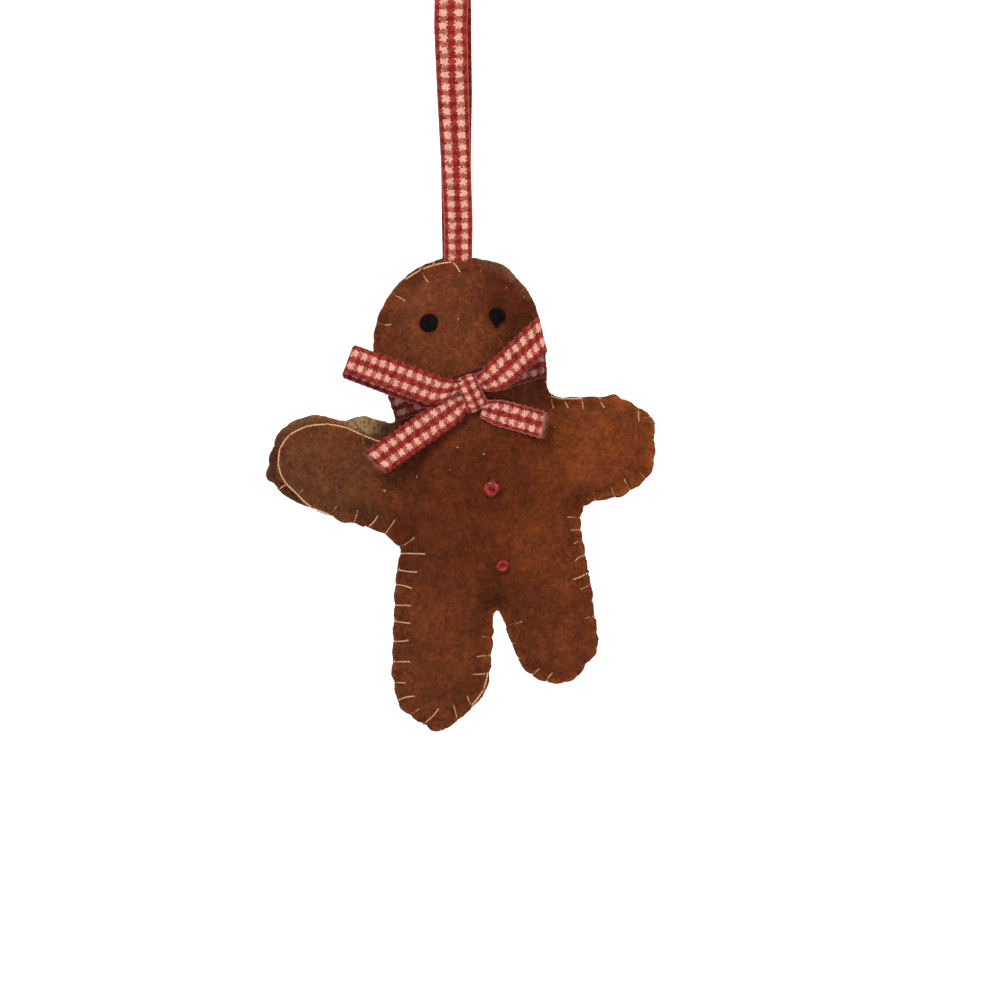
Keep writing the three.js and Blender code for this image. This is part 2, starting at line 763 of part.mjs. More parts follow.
// Outer line of the neck at the ribbon: a hull round both panels and the stitching
function neckHull() {
  const half = ribbonWidth / 2;
  const rowShares = [-1, -0.75, -0.5, -0.25, 0, 0.25, 0.5, 0.75, 1];
  const left = Math.min(neckEdge(0, -1), neckEdge(half, -1)) - threadOffset;
  const right = Math.max(neckEdge(0, 1), neckEdge(half, 1)) + threadOffset;
  const samples = [];
  for (const rowShare of rowShares) {
    const upward = rowShare * half;
    for (let along = left; along <= right; along += threadWidth / 2) {
      const flat = neckPlace(along, upward);
      if (Math.min(frontField(flat), backField(flat)) < 0) {
        const depth = outerFace + reliefAt(flat);
        samples.push(new THREE.Vector2(along, depth), new THREE.Vector2(along, -depth));
      }
    }
  }
  const upNeck = heading(neckLineAngle + Math.PI / 2);
  for (const point of stitchLines.flat()) {
    const offset = new THREE.Vector2(point.x, point.z).sub(place(neckLineShares));
    const along = offset.dot(heading(neckLineAngle));
    const near = Math.abs(offset.dot(upNeck)) < half + threadWidth;
    if (near && along > left - threadWidth && along < right + threadWidth) {
      const alongOut = along + Math.sign(along) * threadWidth / 2;
      samples.push(new THREE.Vector2(alongOut, point.y + Math.sign(point.y) * threadWidth / 2));
    }
  }
  return convexLine(samples);
}

// Convex hull of points in a plane, anticlockwise
function convexLine(points) {
  const sorted = [...points].sort((a, b) => a.x - b.x || a.y - b.y);
  const half = (ordered) => {
    const chain = [];
    for (const p of ordered) {
      while (chain.length > 1) {
        const [a, b] = chain.slice(-2);
        if (b.clone().sub(a).cross(p.clone().sub(a)) > 0) break;
        chain.pop();
      }
      chain.push(p);
    }
    return chain.slice(0, -1);
  };
  return [...half(sorted), ...half(sorted.reverse())];
}

// Distance of the neck ribbon's middle layer outside the hull, and its points spaced evenly
const neckLine = (() => {
  const hull = neckHull();
  const offset = clearance + ribbonThickness / 2;
  const grown = [];
  hull.forEach((p, i) => {
    const before = hull[(i + hull.length - 1) % hull.length];
    const after = hull[(i + 1) % hull.length];
    const normalIn = p.clone().sub(before).normalize();
    const normalOut = after.clone().sub(p).normalize();
    const first = new THREE.Vector2(normalIn.y, -normalIn.x);
    const second = new THREE.Vector2(normalOut.y, -normalOut.x);
    const steps = Math.max(1, Math.ceil(first.angleTo(second) / (Math.PI / 10)));
    for (let k = 0; k <= steps; k += 1) {
      const normal = first.clone().lerp(second, k / steps).normalize();
      grown.push(p.clone().addScaledVector(normal, offset));
    }
  });
  const spaced = [];
  for (const p of grown) {
    if (spaced.every((q) => q.distanceTo(p) > ribbonThickness)) spaced.push(p);
  }
  return spaced;
})();

// The ribbon round the neck, at full width in front and behind and bunched at the sides
function neckRibbon() {
  const line = neckLine.map((p) => spot(neckPlace(p.x, 0), p.y));
  const upNeck = spot(heading(neckLineAngle + Math.PI / 2), 0);
  const reach = Math.max(...neckLine.map((p) => Math.abs(p.x)));
  const widthAt = (i) => {
    const aside = Math.abs(neckLine[i].x) / reach;
    return ribbonWidth - (ribbonWidth - bunchedWidth) * aside * aside;
  };
  return stripGeometry(ribbonStations(line, upNeck, widthAt, true), true);
}

// The face of the neck ribbon that the knot sits on
const neckFront = -Math.min(...neckLine.map((p) => p.y)) + ribbonThickness / 2;
const knotBase = neckFront + clearance;

// The knot: a ribbon turned over the crossing, rounded in front and drawn in at its sides
function bowKnot() {
  const steps = 8;
  const ribs = 4;
  const rows = [];
  for (let r = 0; r <= ribs; r += 1) {
    const side = (2 * r) / ribs - 1;
    const full = 1 - sideDrawShare * side * side;
    const row = [];
    for (let i = 0; i <= steps; i += 1) {
      const angle = (i * Math.PI) / steps;
      const along = (-Math.cos(angle) * knotLength * full) / 2;
      const high = Math.pow(Math.sin(angle), knotRoundShare) * knotHeight * full;
      row.push(new THREE.Vector3((side * knotWidth) / 2, along, high));
    }
    rows.push(row);
  }
  const width = steps + 1;
  const triangles = [];
  for (let r = 0; r < ribs; r += 1) {
    for (let i = 0; i <= steps; i += 1) {
      const j = (i + 1) % width;
      const here = r * width;
      const next = here + width;
      triangles.push([here + i, next + i, next + j], [here + i, next + j, here + j]);
    }
  }
  for (let i = 1; i < steps; i += 1) {
    const last = ribs * width;
    triangles.push([0, i, i + 1], [last, last + i + 1, last + i]);
  }
  return bodyGeometry(rows.flat().map((p) => onFront(p, knotAngle, 0)), triangles);
}

// Places a point of the bow: along a heading from the knot, across it, and out from the neck
function onFront(p, angle, fromKnot) {
  const flat = place(knotShares);
  flat.addScaledVector(heading(angle), p.x + fromKnot);
  flat.addScaledVector(heading(angle + Math.PI / 2), p.y);
  return spot(flat, -(knotBase + p.z));
}

// Distance from the middle of the knot to clear of it, for a gathered strip that leaves at an angle
function knotReach(angle) {
  const along = heading(angle - knotAngle);
  const across = heading(angle - knotAngle + Math.PI / 2);
  const gridShares = [-1, -0.8, -0.6, -0.4, -0.2, 0, 0.2, 0.4, 0.6, 0.8, 1];
  let reach = 0;
  for (const u of gridShares) {
    for (const v of gridShares) {
      const half = (knotLength / 2) * (1 - sideDrawShare * u * u);
      const p = new THREE.Vector2((u * knotWidth) / 2, v * half);
      if (Math.abs(p.dot(across)) < gatheredWidth / 2 + clearance) {
        reach = Math.max(reach, p.dot(along));
      }
    }
  }
  return reach + clearance;
}

// Width of a bow strip: gathered at the knot and opening to the ribbon's width
function bowWidth(distance) {
  const opening = Math.min(distance / ribbonWidth, 1);
  return gatheredWidth + (ribbonWidth - gatheredWidth) * Math.sin((opening * Math.PI) / 2);
}

// A strip of the bow along a line of distance and height pairs. With a slant, its edges reach that
// much further than its middle, and that much less, at the end.
function bowStrip(line, angle, closed, slant = 0) {
  const reach = knotReach(angle);
  const length = Math.max(...line.map((p) => p.x));
  const points = line.map((p) => onFront(new THREE.Vector3(p.x, 0, p.y), angle, reach));
  const across = spot(heading(angle + Math.PI / 2), 0);
  const stations = ribbonStations(points, across, (i) => bowWidth(line[i].x), closed);
  stations.forEach((station, i) => {
    station.across.addScaledVector(spot(heading(angle), 0), slant * (line[i].x / length) ** 2);
  });
  return stripGeometry(stations, closed);
}

function bowLoop(length, angle, slant) {
  const middle = knotHeight / 2;
  const half = bowLoopGap / 2;
  const round = 4;
  const runs = 5;
  const line = [new THREE.Vector2(0, middle)];
  for (let i = 1; i <= runs; i += 1) {
    line.push(new THREE.Vector2((i * (length - half)) / runs, middle + half));
  }
  for (let i = 1; i <= round; i += 1) {
    const angleAt = Math.PI / 2 - (i * Math.PI) / round;
    const x = length - half + half * Math.cos(angleAt);
    line.push(new THREE.Vector2(x, middle + half * Math.sin(angleAt)));
  }
  for (let i = runs - 1; i >= 1; i -= 1) {
    line.push(new THREE.Vector2((i * (length - half)) / runs, middle - half));
  }
  return bowStrip(line, angle, true, slant);
}

function bowTail(length, angle) {
  const steps = 6;
  const line = [];
  for (let i = 0; i <= steps; i += 1) {
    line.push(new THREE.Vector2((i * length) / steps, knotHeight / 2));
  }
  return bowStrip(line, angle, false);
}

// Named pieces
function piece(name, geometry, look) {
  const mesh = new THREE.Mesh(geometry, new THREE.MeshStandardMaterial(look));
  mesh.name = name;
  return mesh;
}

const figure = new THREE.Group();
figure.position.z = -loopDrop;
figure.add(piece('front_felt', feltPanel(frontField, -1), frontFeltLook));
figure.add(piece('back_felt', feltPanel(backField, 1), backFeltLook));
for (const [name, geometry] of Object.entries(fillingWads())) {
  figure.add(piece(name, geometry, fillingLook));
}
figure.add(piece('blanket_stitch_thread', blanketStitching(), creamThreadLook));
figure.add(piece('hanging_ribbon_sewn_ends', sewnEnds(), ribbonLook));
figure.add(piece('left_eye', eye(place(leftEyeShares)), blackThreadLook));
figure.add(piece('right_eye', eye(place(rightEyeShares)), blackThreadLook));
figure.add(piece('upper_button_bead', bead(place(upperBeadShares)), glassLook));
figure.add(piece('upper_bead_thread', beadThread(place(upperBeadShares)), redThreadLook));
figure.add(piece('lower_button_bead', bead(place(lowerBeadShares)), glassLook));
figure.add(piece('lower_bead_thread', beadThread(place(lowerBeadShares)), redThreadLook));
figure.add(piece('neck_ribbon', neckRibbon(), ribbonLook));
figure.add(piece('bow_knot', bowKnot(), ribbonLook));
figure.add(piece('bow_left_loop', bowLoop(leftLoopLength, leftLoopAngle), ribbonLook));
figure.add(piece('bow_right_loop', bowLoop(rightLoopLength, rightLoopAngle, rightLoopSlant), ribbonLook));
figure.add(piece('bow_left_tail', bowTail(leftTailLength, leftTailAngle), ribbonLook));
figure.add(piece('bow_right_tail', bowTail(rightTailLength, rightTailAngle), ribbonLook));

const ornament = new THREE.Group();
ornament.add(piece('hanging_ribbon', hangingRibbon(), ribbonLook));
ornament.add(figure);

export default ornament;
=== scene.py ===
import math

import bmesh
import bpy
import numpy as np
from bpy.props import FloatProperty, FloatVectorProperty, IntProperty, PointerProperty
from bpy.types import Operator, Panel, PropertyGroup
from mathutils import Matrix, Vector
from mathutils.bvhtree import BVHTree


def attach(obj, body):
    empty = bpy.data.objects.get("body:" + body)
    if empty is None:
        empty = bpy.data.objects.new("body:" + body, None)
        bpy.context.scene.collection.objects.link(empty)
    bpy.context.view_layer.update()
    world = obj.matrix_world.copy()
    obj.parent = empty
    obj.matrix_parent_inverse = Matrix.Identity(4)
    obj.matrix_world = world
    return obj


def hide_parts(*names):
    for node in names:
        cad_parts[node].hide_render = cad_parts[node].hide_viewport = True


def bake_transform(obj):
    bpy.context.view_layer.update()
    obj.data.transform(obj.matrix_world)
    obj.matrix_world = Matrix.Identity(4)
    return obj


bl_info = {
    "name": "Gingerbread Man Ornament",
    "version": (1, 0, 0),
    "blender": (4, 5, 0),
    "location": "3D View > Sidebar > Ornament",
    "description": "Sewn felt gingerbread man with a gingham ribbon bow, hung on a ribbon loop",
    "category": "Object",
}

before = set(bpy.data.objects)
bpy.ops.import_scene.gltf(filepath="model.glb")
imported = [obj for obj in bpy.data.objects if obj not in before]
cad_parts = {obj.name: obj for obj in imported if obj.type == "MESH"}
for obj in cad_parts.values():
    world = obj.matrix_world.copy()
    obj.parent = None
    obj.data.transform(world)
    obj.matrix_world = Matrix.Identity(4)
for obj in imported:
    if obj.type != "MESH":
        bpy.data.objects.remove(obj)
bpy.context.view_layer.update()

# The pattern of the figure is in millimetres, as pairs: across, and up from the crown of the head.
# It stands LOOP_DROP under the hanging point, which is the origin, and its front faces -Y.
MM = 0.001
LOOP_DROP = 70.0

# Rounded limbs: the place and the radius of each end
LIMB_ENDS = {
    "crown": (0.1, -16.5, 16.5),
    "jaw": (2.2, -23.5, 14.8),
    "neck": (3.85, -36.0, 13.9),
    "shoulders": (6.02, -40.8, 16.7),
    "waist": (7.33, -51.0, 17.3),
    "left_shoulder": (-11.05, -46.1, 9.0),
    "left_hand": (-28.9, -41.0, 7.8),
    "right_shoulder": (18.42, -38.5, 11.1),
    "right_hand": (30.08, -36.9, 9.7),
    "left_hip": (-1.88, -62.5, 10.0),
    "left_ankle": (-3.01, -81.5, 9.5),
    "left_toe": (-4.4, -85.9, 7.3),
    "right_hip": (15.79, -60.5, 10.0),
    "right_foot": (20.1, -76.0, 8.0),
}
BODY_LIMBS = (
    ("crown", "jaw"), ("jaw", "neck"), ("shoulders", "waist"),
    ("left_shoulder", "left_hand"), ("right_shoulder", "right_hand"),
)
# The back panel slipped at the crown and was cut larger round the left arm
BACK_ENDS = {
    "crown": (0.8, -15.8, 16.5),
    "left_shoulder": (-13.5, -42.7, 10.4),
    "left_hand": (-28.8, -39.9, 8.4),
}
BACK_OVERHANG = 0.35
# Fillets where the limbs meet the body, and between the legs
CREASE_FILLET = 3.0
CROTCH_FILLET = 1.2

# Where the cut or a tight stitch brings an edge in, or leaves it full: across, up, inward, radius
BOTH_PULLS = (
    (-11.6, -55.6, -0.9, 2.0), (-12.2, -60.5, 0.35, 3.0), (-8.8, -91.6, 0.9, 2.6),
    (-3.7, -93.8, -0.5, 1.5), (-6.4, -92.6, 0.45, 1.2), (26.3, -80.9, 0.9, 2.4),
    (27.0, -65.2, -0.3, 2.0), (39.0, -31.2, -0.9, 2.3), (31.8, -26.8, -0.4, 1.1),
    (39.8, -36.5, 0.35, 3.0), (38.3, -42.2, -0.4, 2.0), (32.5, -46.5, -0.4, 2.0),
    (-22.8, -51.8, -0.4, 1.6), (-16.3, -54.0, 0.3, 3.0),
)
FRONT_PULLS = (
    (-33.2, -45.9, 2.1, 3.2), (-36.2, -40.0, 1.15, 3.2), (-23.6, -33.5, -1.6, 5.4),
)
BACK_PULLS = (
    (-18.6, -30.9, -0.8, 2.3), (-28.1, -30.7, -0.5, 2.6), (-22.8, -31.6, 0.4, 1.5),
    (-37.9, -42.9, -0.9, 1.6), (-37.0, -36.6, 0.6, 1.6), (-36.9, -40.2, 0.3, 1.0),
    (-36.4, -45.0, 0.3, 1.1), (-33.5, -48.3, 0.5, 1.3), (-12.6, -32.0, 0.6, 1.6),
    (9.6, -0.2, -0.6, 3.2), (17.0, -11.5, 0.4, 4.5), (8.3, -71.0, 0.45, 2.5),
)

# A felt panel's mesh pitch while it is filled; afterwards it is four times finer
FELT_PITCH = 1.4
# The panels' inner faces from the seam plane, the flat margin that the seam holds down, how softly
# the filled dome starts inside it, how full the dome is, and how much the neck ribbon takes in
INNER_FACE = 0.15
SEAM_MARGIN = 2.4
SOFT_EDGE = 1.1
PUFF = 0.52
CINCH = 0.3
# The strip along the edge that the stitches hold while the felt is filled, and the bevel of its cut
HELD_MARGIN = 1.8
CUT_BEVEL = 0.32

# Creases in the filled front: both ends, depth, width
CREASES = (
    ((1.4, -2.2), (4.8, -5.4), 0.4, 0.5), ((18.6, -29.5), (20.4, -46.5), 0.55, 1.9),
    ((-12.5, -38.5), (-9.5, -51.0), 0.2, 2.2), ((8.7, -69.0), (8.0, -64.0), 0.4, 1.0),
    ((-9.5, -55.5), (-4.0, -53.5), 0.3, 1.2), ((22.0, -49.5), (17.0, -50.5), 0.3, 1.2),
)

# The stitches that show: the place on the edge, the leg's tip, and how far it stands out of the felt
SEEN_STITCHES = (
    (-0.8, -0.5, 0.8, -2.2, 0.75), (-6.5, -2.6, -5.4, -4.4, 0.5),
    (-12.0, -7.1, -10.0, -8.1, 0.5), (-15.2, -12.3, -12.8, -12.7, 0.45),
    (-18.5, -34.2, -18.4, -36.6, 0.45), (-21.7, -33.2, -21.5, -34.5, 0.3),
    (-25.6, -32.4, -25.3, -34.3, 0.3), (-29.6, -33.1, -28.9, -35.0, 0.3),
    (-33.2, -34.6, -32.4, -36.2, 0.35), (-34.9, -37.5, -33.4, -38.0, 0.3),
    (-35.7, -40.5, -34.2, -40.7, 0.3), (-33.7, -44.2, -35.2, -45.3, 0.7),
    (-31.8, -46.8, -30.4, -45.4, 0.5), (-28.5, -48.6, -27.2, -47.4, 0.4),
    (-24.8, -50.4, -23.7, -48.7, 0.45), (-20.2, -51.3, -19.6, -49.5, 0.55),
    (-17.5, -52.2, -15.5, -50.6, 0.85), (-13.7, -53.6, -12.0, -51.4, 0.7),
    (-10.6, -56.4, -8.2, -55.0, 0.6), (-10.8, -58.3, -6.0, -58.3, 1.0),
    (-11.3, -61.6, -7.6, -61.9, 0.8), (-11.8, -64.5, -8.7, -65.2, 1.0),
    (-12.1, -68.6, -8.9, -68.6, 1.0), (-12.4, -71.8, -9.0, -72.1, 1.0),
    (-12.3, -75.8, -9.3, -75.5, 0.9), (-12.2, -79.9, -9.0, -79.8, 1.0),
    (-12.0, -84.0, -10.0, -84.1, 0.75), (-11.5, -87.6, -8.2, -86.7, 1.0),
    (-9.3, -90.7, -7.3, -89.2, 0.5), (-6.3, -92.2, -3.4, -89.1, 0.85),
    (0.3, -91.5, -0.5, -88.4, 0.7), (3.2, -88.7, 2.2, -86.6, 0.6),
    (5.9, -82.1, 3.4, -82.3, 0.9), (6.3, -78.6, 4.1, -78.9, 0.7),
    (6.9, -75.1, 5.2, -74.8, 0.4), (11.0, -72.3, 13.4, -71.7, 0.4),
    (15.4, -82.4, 16.6, -81.3, 0.7), (18.0, -84.2, 19.3, -82.1, 0.8),
    (27.2, -70.9, 25.8, -71.2, 0.5), (26.7, -64.5, 24.8, -65.4, 0.6),
    (26.1, -62.2, 23.4, -63.4, 0.85), (25.6, -58.6, 23.7, -59.8, 0.75),
    (25.2, -55.7, 23.6, -56.3, 0.5), (24.9, -53.6, 22.9, -53.6, 0.6),
    (24.8, -51.2, 22.1, -51.0, 0.5), (25.2, -48.7, 24.1, -47.7, 0.35),
    (27.7, -47.2, 27.3, -45.9, 0.35), (31.6, -46.6, 31.0, -45.0, 0.5),
    (34.2, -44.8, 33.5, -43.3, 0.5), (37.7, -43.2, 36.7, -42.0, 0.6),
    (39.3, -39.6, 38.4, -39.5, 0.25), (39.6, -35.6, 38.4, -35.6, 0.25),
    (38.8, -31.0, 37.4, -31.3, 0.5), (36.9, -28.6, 36.5, -31.9, 0.7),
    (28.7, -27.4, 29.6, -29.2, 0.6), (25.0, -27.2, 25.4, -29.5, 0.75),
    (21.6, -27.3, 22.4, -29.2, 0.7), (18.9, -27.1, 19.5, -29.4, 0.7),
    (13.7, -6.9, 12.4, -8.2, 0.3), (11.0, -4.0, 9.9, -5.5, 0.35),
    (4.8, -0.8, 4.9, -2.2, 0.4),
)
# Boxes of the figure where the thread along the edge shows on the front
SHOWN_EDGES = (
    (-9.8, -7.5, -2.2, 1.0), (-37.5, -50.5, -13.0, -30.0),
    (2.2, -90.5, 7.2, -81.0), (19.8, -28.8, 24.6, -26.0),
)

LEFT_EYE = (-5.2, -12.6)
RIGHT_EYE = (8.2, -11.15)
UPPER_BEAD = (7.2, -45.2)
LOWER_BEAD = (9.3, -60.6)
NECK_LINE = (2.9, -24.9)
NECK_ANGLE = math.radians(16.5)
KNOT = (3.2, -26.6)
KNOT_ANGLE = math.radians(25)
# The hanging ribbon's ends inside the crown: their middle, the reach to each side, and their depth
SEWN_MIDDLE, SEWN_REACH, SEWN_DEPTH = 0.3, 3.6, 8
# Bits of white lint on the felt
LINT = ((0.5, -11.9), (0.4, -37.3), (5.6, -38.6), (-1.0, -41.6), (-7.6, -43.0), (-14.1, -45.7))

# Gingham: the middle of each light stripe from the ribbon's middle, and the size of its checks
STRIPE_PLACE = 1.3
STRIPE_WIDTH = 1.3
BAR_PITCH = 1.9
BAR_WIDTH = 1.0

# Painted light and shade on the felt: paler pools where light falls on the head, the arms, the right hip
# and the legs, a darker patch of painted shade on the head's upper right, and paler, more olive painted
# light on the back panel's upper rims. The middle and the radius of each, and what it multiplies the
# brown by
FRONT_PAINTED_LIGHT = (
    ((0, -17), 20, (1.52, 1.85, 2.5)),
    ((12, -8), 9, (0.78, 0.72, 0.8)),
    ((-28, -41), 20, (1.22, 1.83, 2.75)),
    ((33, -37), 21, (1.72, 1.93, 1.7)),
    ((21, -58), 14, (1.44, 1.54, 1.4)),
    ((-4, -82), 23, (1.22, 1.42, 1.6)),
    ((19, -78), 17, (1.24, 1.4, 1.5)),
)
BACK_PAINTED_LIGHT = (((-24, -31), 14, (1.9, 2.9, 3.0)), ((10, -1), 9, (1.5, 2.0, 2.3)))
# A loose fibre's colour against the felt under it
FIBRE_TINT = (2.0, 2.15, 2.4, 1.0)

# Radii of the finest threads and fibres
FELT_HAIR = 0.04
LINT_HAIR = 0.07
FRAYED_HAIR = 0.06
RIBBON_EDGE_THREAD = 0.085
EYE_THREAD = 0.19
BEAD_THREAD = 0.17

# The ribbon: its thickness, the neck's middle along the neck line, the lengths of its turns round
# the neck and over the knot, how far in front of the seam plane the bow lies, and its width where
# the knot gathers it
RIBBON_THICKNESS = 0.22
NECK_MIDDLE = 2.6
NECK_TURN = 70.0
KNOT_TURN = 13.0
BOW_LEVEL = 8.5
GATHERED_WIDTH = 3.2

# What one operator leaves for the next: the film, the stitches, the felt's surfaces, ribbon finishes
made = {}


# The figure's pattern


def limb_distance(places, start, end):
    """Signed distance from a limb that tapers from one round end to the other."""
    (x0, z0, r0), (x1, z1, r1) = start, end
    axis = np.array([x1 - x0, z1 - z0])
    length = np.hypot(*axis)
    axis = axis / length
    offset = places - np.array([x0, z0])
    beside = np.abs(offset[:, 0] * axis[1] - offset[:, 1] * axis[0])
    along = offset @ axis
    slope = (r0 - r1) / length
    rise = math.sqrt(1 - slope * slope)
    reach = along * rise - beside * slope
    side = beside * rise + along * slope - r0
    ends = np.where(reach < 0, np.hypot(beside, along) - r0, np.hypot(beside, along - length) - r1)
    return np.where((reach < 0) | (reach > rise * length), ends, side)


def filleted(a, b, fillet):
    """Two distances joined with a fillet in the crease between them."""
    overlap = np.maximum(fillet - np.abs(a - b), 0)
    return np.minimum(a, b) - overlap**2 / (4 * fillet)


def limbs_distance(places, ends):
    """Distance of places from the joined limbs, negative inside them."""

    def limb(start, end):
        return limb_distance(places, ends[start], ends[end])

    left_leg = np.minimum(limb("left_hip", "left_ankle"), limb("left_ankle", "left_toe"))
    legs = filleted(left_leg, limb("right_hip", "right_foot"), CROTCH_FILLET)
    distance = limb(*BODY_LIMBS[0])
    for pair in BODY_LIMBS[1:]:
        distance = filleted(distance, limb(*pair), CREASE_FILLET)
    return filleted(distance, legs, CREASE_FILLET)


def cut_line(places, side=-1):
    """Distance of places from the edge that a panel was cut to, negative inside it."""
    places = np.atleast_2d(places)
    back = side > 0
    distance = limbs_distance(places, {**LIMB_ENDS, **(BACK_ENDS if back else {})})
    for x, z, inward, radius in BOTH_PULLS + (BACK_PULLS if back else FRONT_PULLS):
        distance = distance + inward * bell(places, (x, z), radius)
    return distance - (BACK_OVERHANG if back else 0)


def slope_of(field, places):
    """Unit direction in which a field grows at each place."""
    places = np.atleast_2d(places)
    step = 0.05
    dx, dz = np.array([step, 0]), np.array([0, step])
    across = field(places + dx) - field(places - dx)
    upward = field(places + dz) - field(places - dz)
    slope = np.stack([across, upward], 1) / (2 * step)
    return slope / np.maximum(np.linalg.norm(slope, axis=1), 0.2)[:, None]


def settle(field, places, level, rounds=4):
    """Places moved to where the field has a level."""
    places = np.array(places, float)
    for _ in range(rounds):
        places = places + slope_of(field, places) * (level - field(places))[:, None]
    return places


def lengths_along(line):
    return np.concatenate([[0], np.cumsum(np.linalg.norm(np.diff(line, axis=0), axis=1))])


def spaced(line, pitch):
    """Points about a pitch apart along a line of points."""
    line = np.asarray(line, float)
    lengths = lengths_along(line)
    at = np.linspace(0, lengths[-1], max(2, round(lengths[-1] / pitch)) + 1)
    return np.stack([np.interp(at, lengths, column) for column in line.T], 1)


def smoothed(points, rounds=3):
    """A line of points with its corners cut and its ends kept."""
    line = np.asarray(points, float)
    for _ in range(rounds):
        a, b = line[:-1], line[1:]
        cut = np.stack([a * 0.75 + b * 0.25, a * 0.25 + b * 0.75], 1).reshape(-1, line.shape[1])
        line = np.vstack([line[:1], cut[1:-1], line[-1:]])
    return line


def walk_round(field, level):
    """A fine line round the figure where the field has a level, anticlockwise from the crown."""
    stride = 0.4
    trail = [settle(field, [(0.0, 0.5)], level)[0]]
    while len(trail) < 10 or np.hypot(*(trail[-1] - trail[0])) > stride:
        out = slope_of(field, trail[-1:])[0]
        ahead = trail[-1] + stride * np.array([-out[1], out[0]])
        trail.append(settle(field, [ahead], level, 2)[0])
    return np.array(trail)


def to_frame(points):
    """Points of the figure in metres, from its millimetres: across, depth to the back, up."""
    return (np.asarray(points, float) - (0, 0, LOOP_DROP)) * MM


def lifted(flat, depth):
    return (flat[0], depth, flat[1])


def raised(flats, depths):
    """Points of the figure at flat places and their depths."""
    return np.column_stack([flats[:, 0], depths, flats[:, 1]])


def heading(angle):
    return np.array([math.cos(angle), math.sin(angle)])


def headings(angles):
    return np.stack([np.cos(angles), np.sin(angles)], 1)


def bell(places, centre, radius):
    return np.exp(-((places - np.asarray(centre)) ** 2).sum(1) / radius**2)


def segment_distance(places, start, end):
    """Distance of places from a segment, and how far along it each lies as a share."""
    axis = np.subtract(end, start)
    share = np.clip((places - start) @ axis / (axis @ axis), 0, 1)
    nearest = np.asarray(start) + share[:, None] * axis
    return np.linalg.norm(places - nearest, axis=1), share


def solve_film():
    """Heights of a film blown up over the figure inside the seam margin, on a square grid."""
    pitch, rounds, relaxation = 0.5, 500, 1.92
    low = np.array([-38.0, -95.5])
    columns = np.arange(low[0], 41, pitch)
    rows = np.arange(low[1], 0.5, pitch)
    across, upward = np.meshgrid(columns, rows)
    places = np.stack([across.ravel(), upward.ravel()], 1)
    inside = (limbs_distance(places, LIMB_ENDS) < -SEAM_MARGIN).reshape(across.shape)
    checks = np.add.outer(np.arange(len(rows)), np.arange(len(columns))) % 2 == 0
    film = np.zeros(across.shape)
    for _ in range(rounds):
        for part in (checks & inside, ~checks & inside):
            around = np.roll(film, 1, 0) + np.roll(film, -1, 0)
            around = around + np.roll(film, 1, 1) + np.roll(film, -1, 1)
            film[part] += relaxation * ((around + pitch**2) / 4 - film)[part]
    return {"low": low, "pitch": pitch, "film": film}


def fullness(places):
    """Height of the filled felt over the seam margin."""
    grid = made["grid"]
    f = grid["film"]
    at = (np.atleast_2d(places) - grid["low"]) / grid["pitch"]
    x = np.clip(at[:, 0], 0, f.shape[1] - 1.001)
    y = np.clip(at[:, 1], 0, f.shape[0] - 1.001)
    i, j = x.astype(int), y.astype(int)
    u, v = x - i, y - j
    lower, upper = (f[row, i] * (1 - u) + f[row, i + 1] * u for row in (j, j + 1))
    film = lower * (1 - v) + upper * v
    dome = np.sqrt(2 * film + SOFT_EDGE**2) - SOFT_EDGE
    from_neck = (np.atleast_2d(places) - NECK_LINE) @ heading(NECK_ANGLE + math.pi / 2) / 6
    return PUFF * dome * (1 - CINCH * np.exp(-(from_neck**2)))


# Materials


def arithmetic(operation, turned=False):
    """A wire's method for one sum, where turned puts the wire last."""

    def method(wire, *values):
        terms = (*values, wire) if turned else (wire, *values)
        return wire.finish.maths(operation, *terms)

    return method


class Wire:
    """A shader socket that sums can be written with."""

    __add__ = arithmetic("ADD")
    __radd__ = arithmetic("ADD", turned=True)
    __sub__ = arithmetic("SUBTRACT")
    __rsub__ = arithmetic("SUBTRACT", turned=True)
    __mul__ = arithmetic("MULTIPLY")
    __rmul__ = arithmetic("MULTIPLY", turned=True)
    __truediv__ = arithmetic("DIVIDE")
    __pow__ = arithmetic("POWER")
    __mod__ = arithmetic("FLOORED_MODULO")
    __gt__ = arithmetic("GREATER_THAN")
    __lt__ = arithmetic("LESS_THAN")
    absolute = arithmetic("ABSOLUTE")
    floor = arithmetic("FLOOR")
    at_least = arithmetic("MAXIMUM")

    def __init__(self, finish, socket):
        self.finish, self.socket = finish, socket

    def clamp(self):
        return self.finish.node("ShaderNodeClamp", None, {"Value": self})


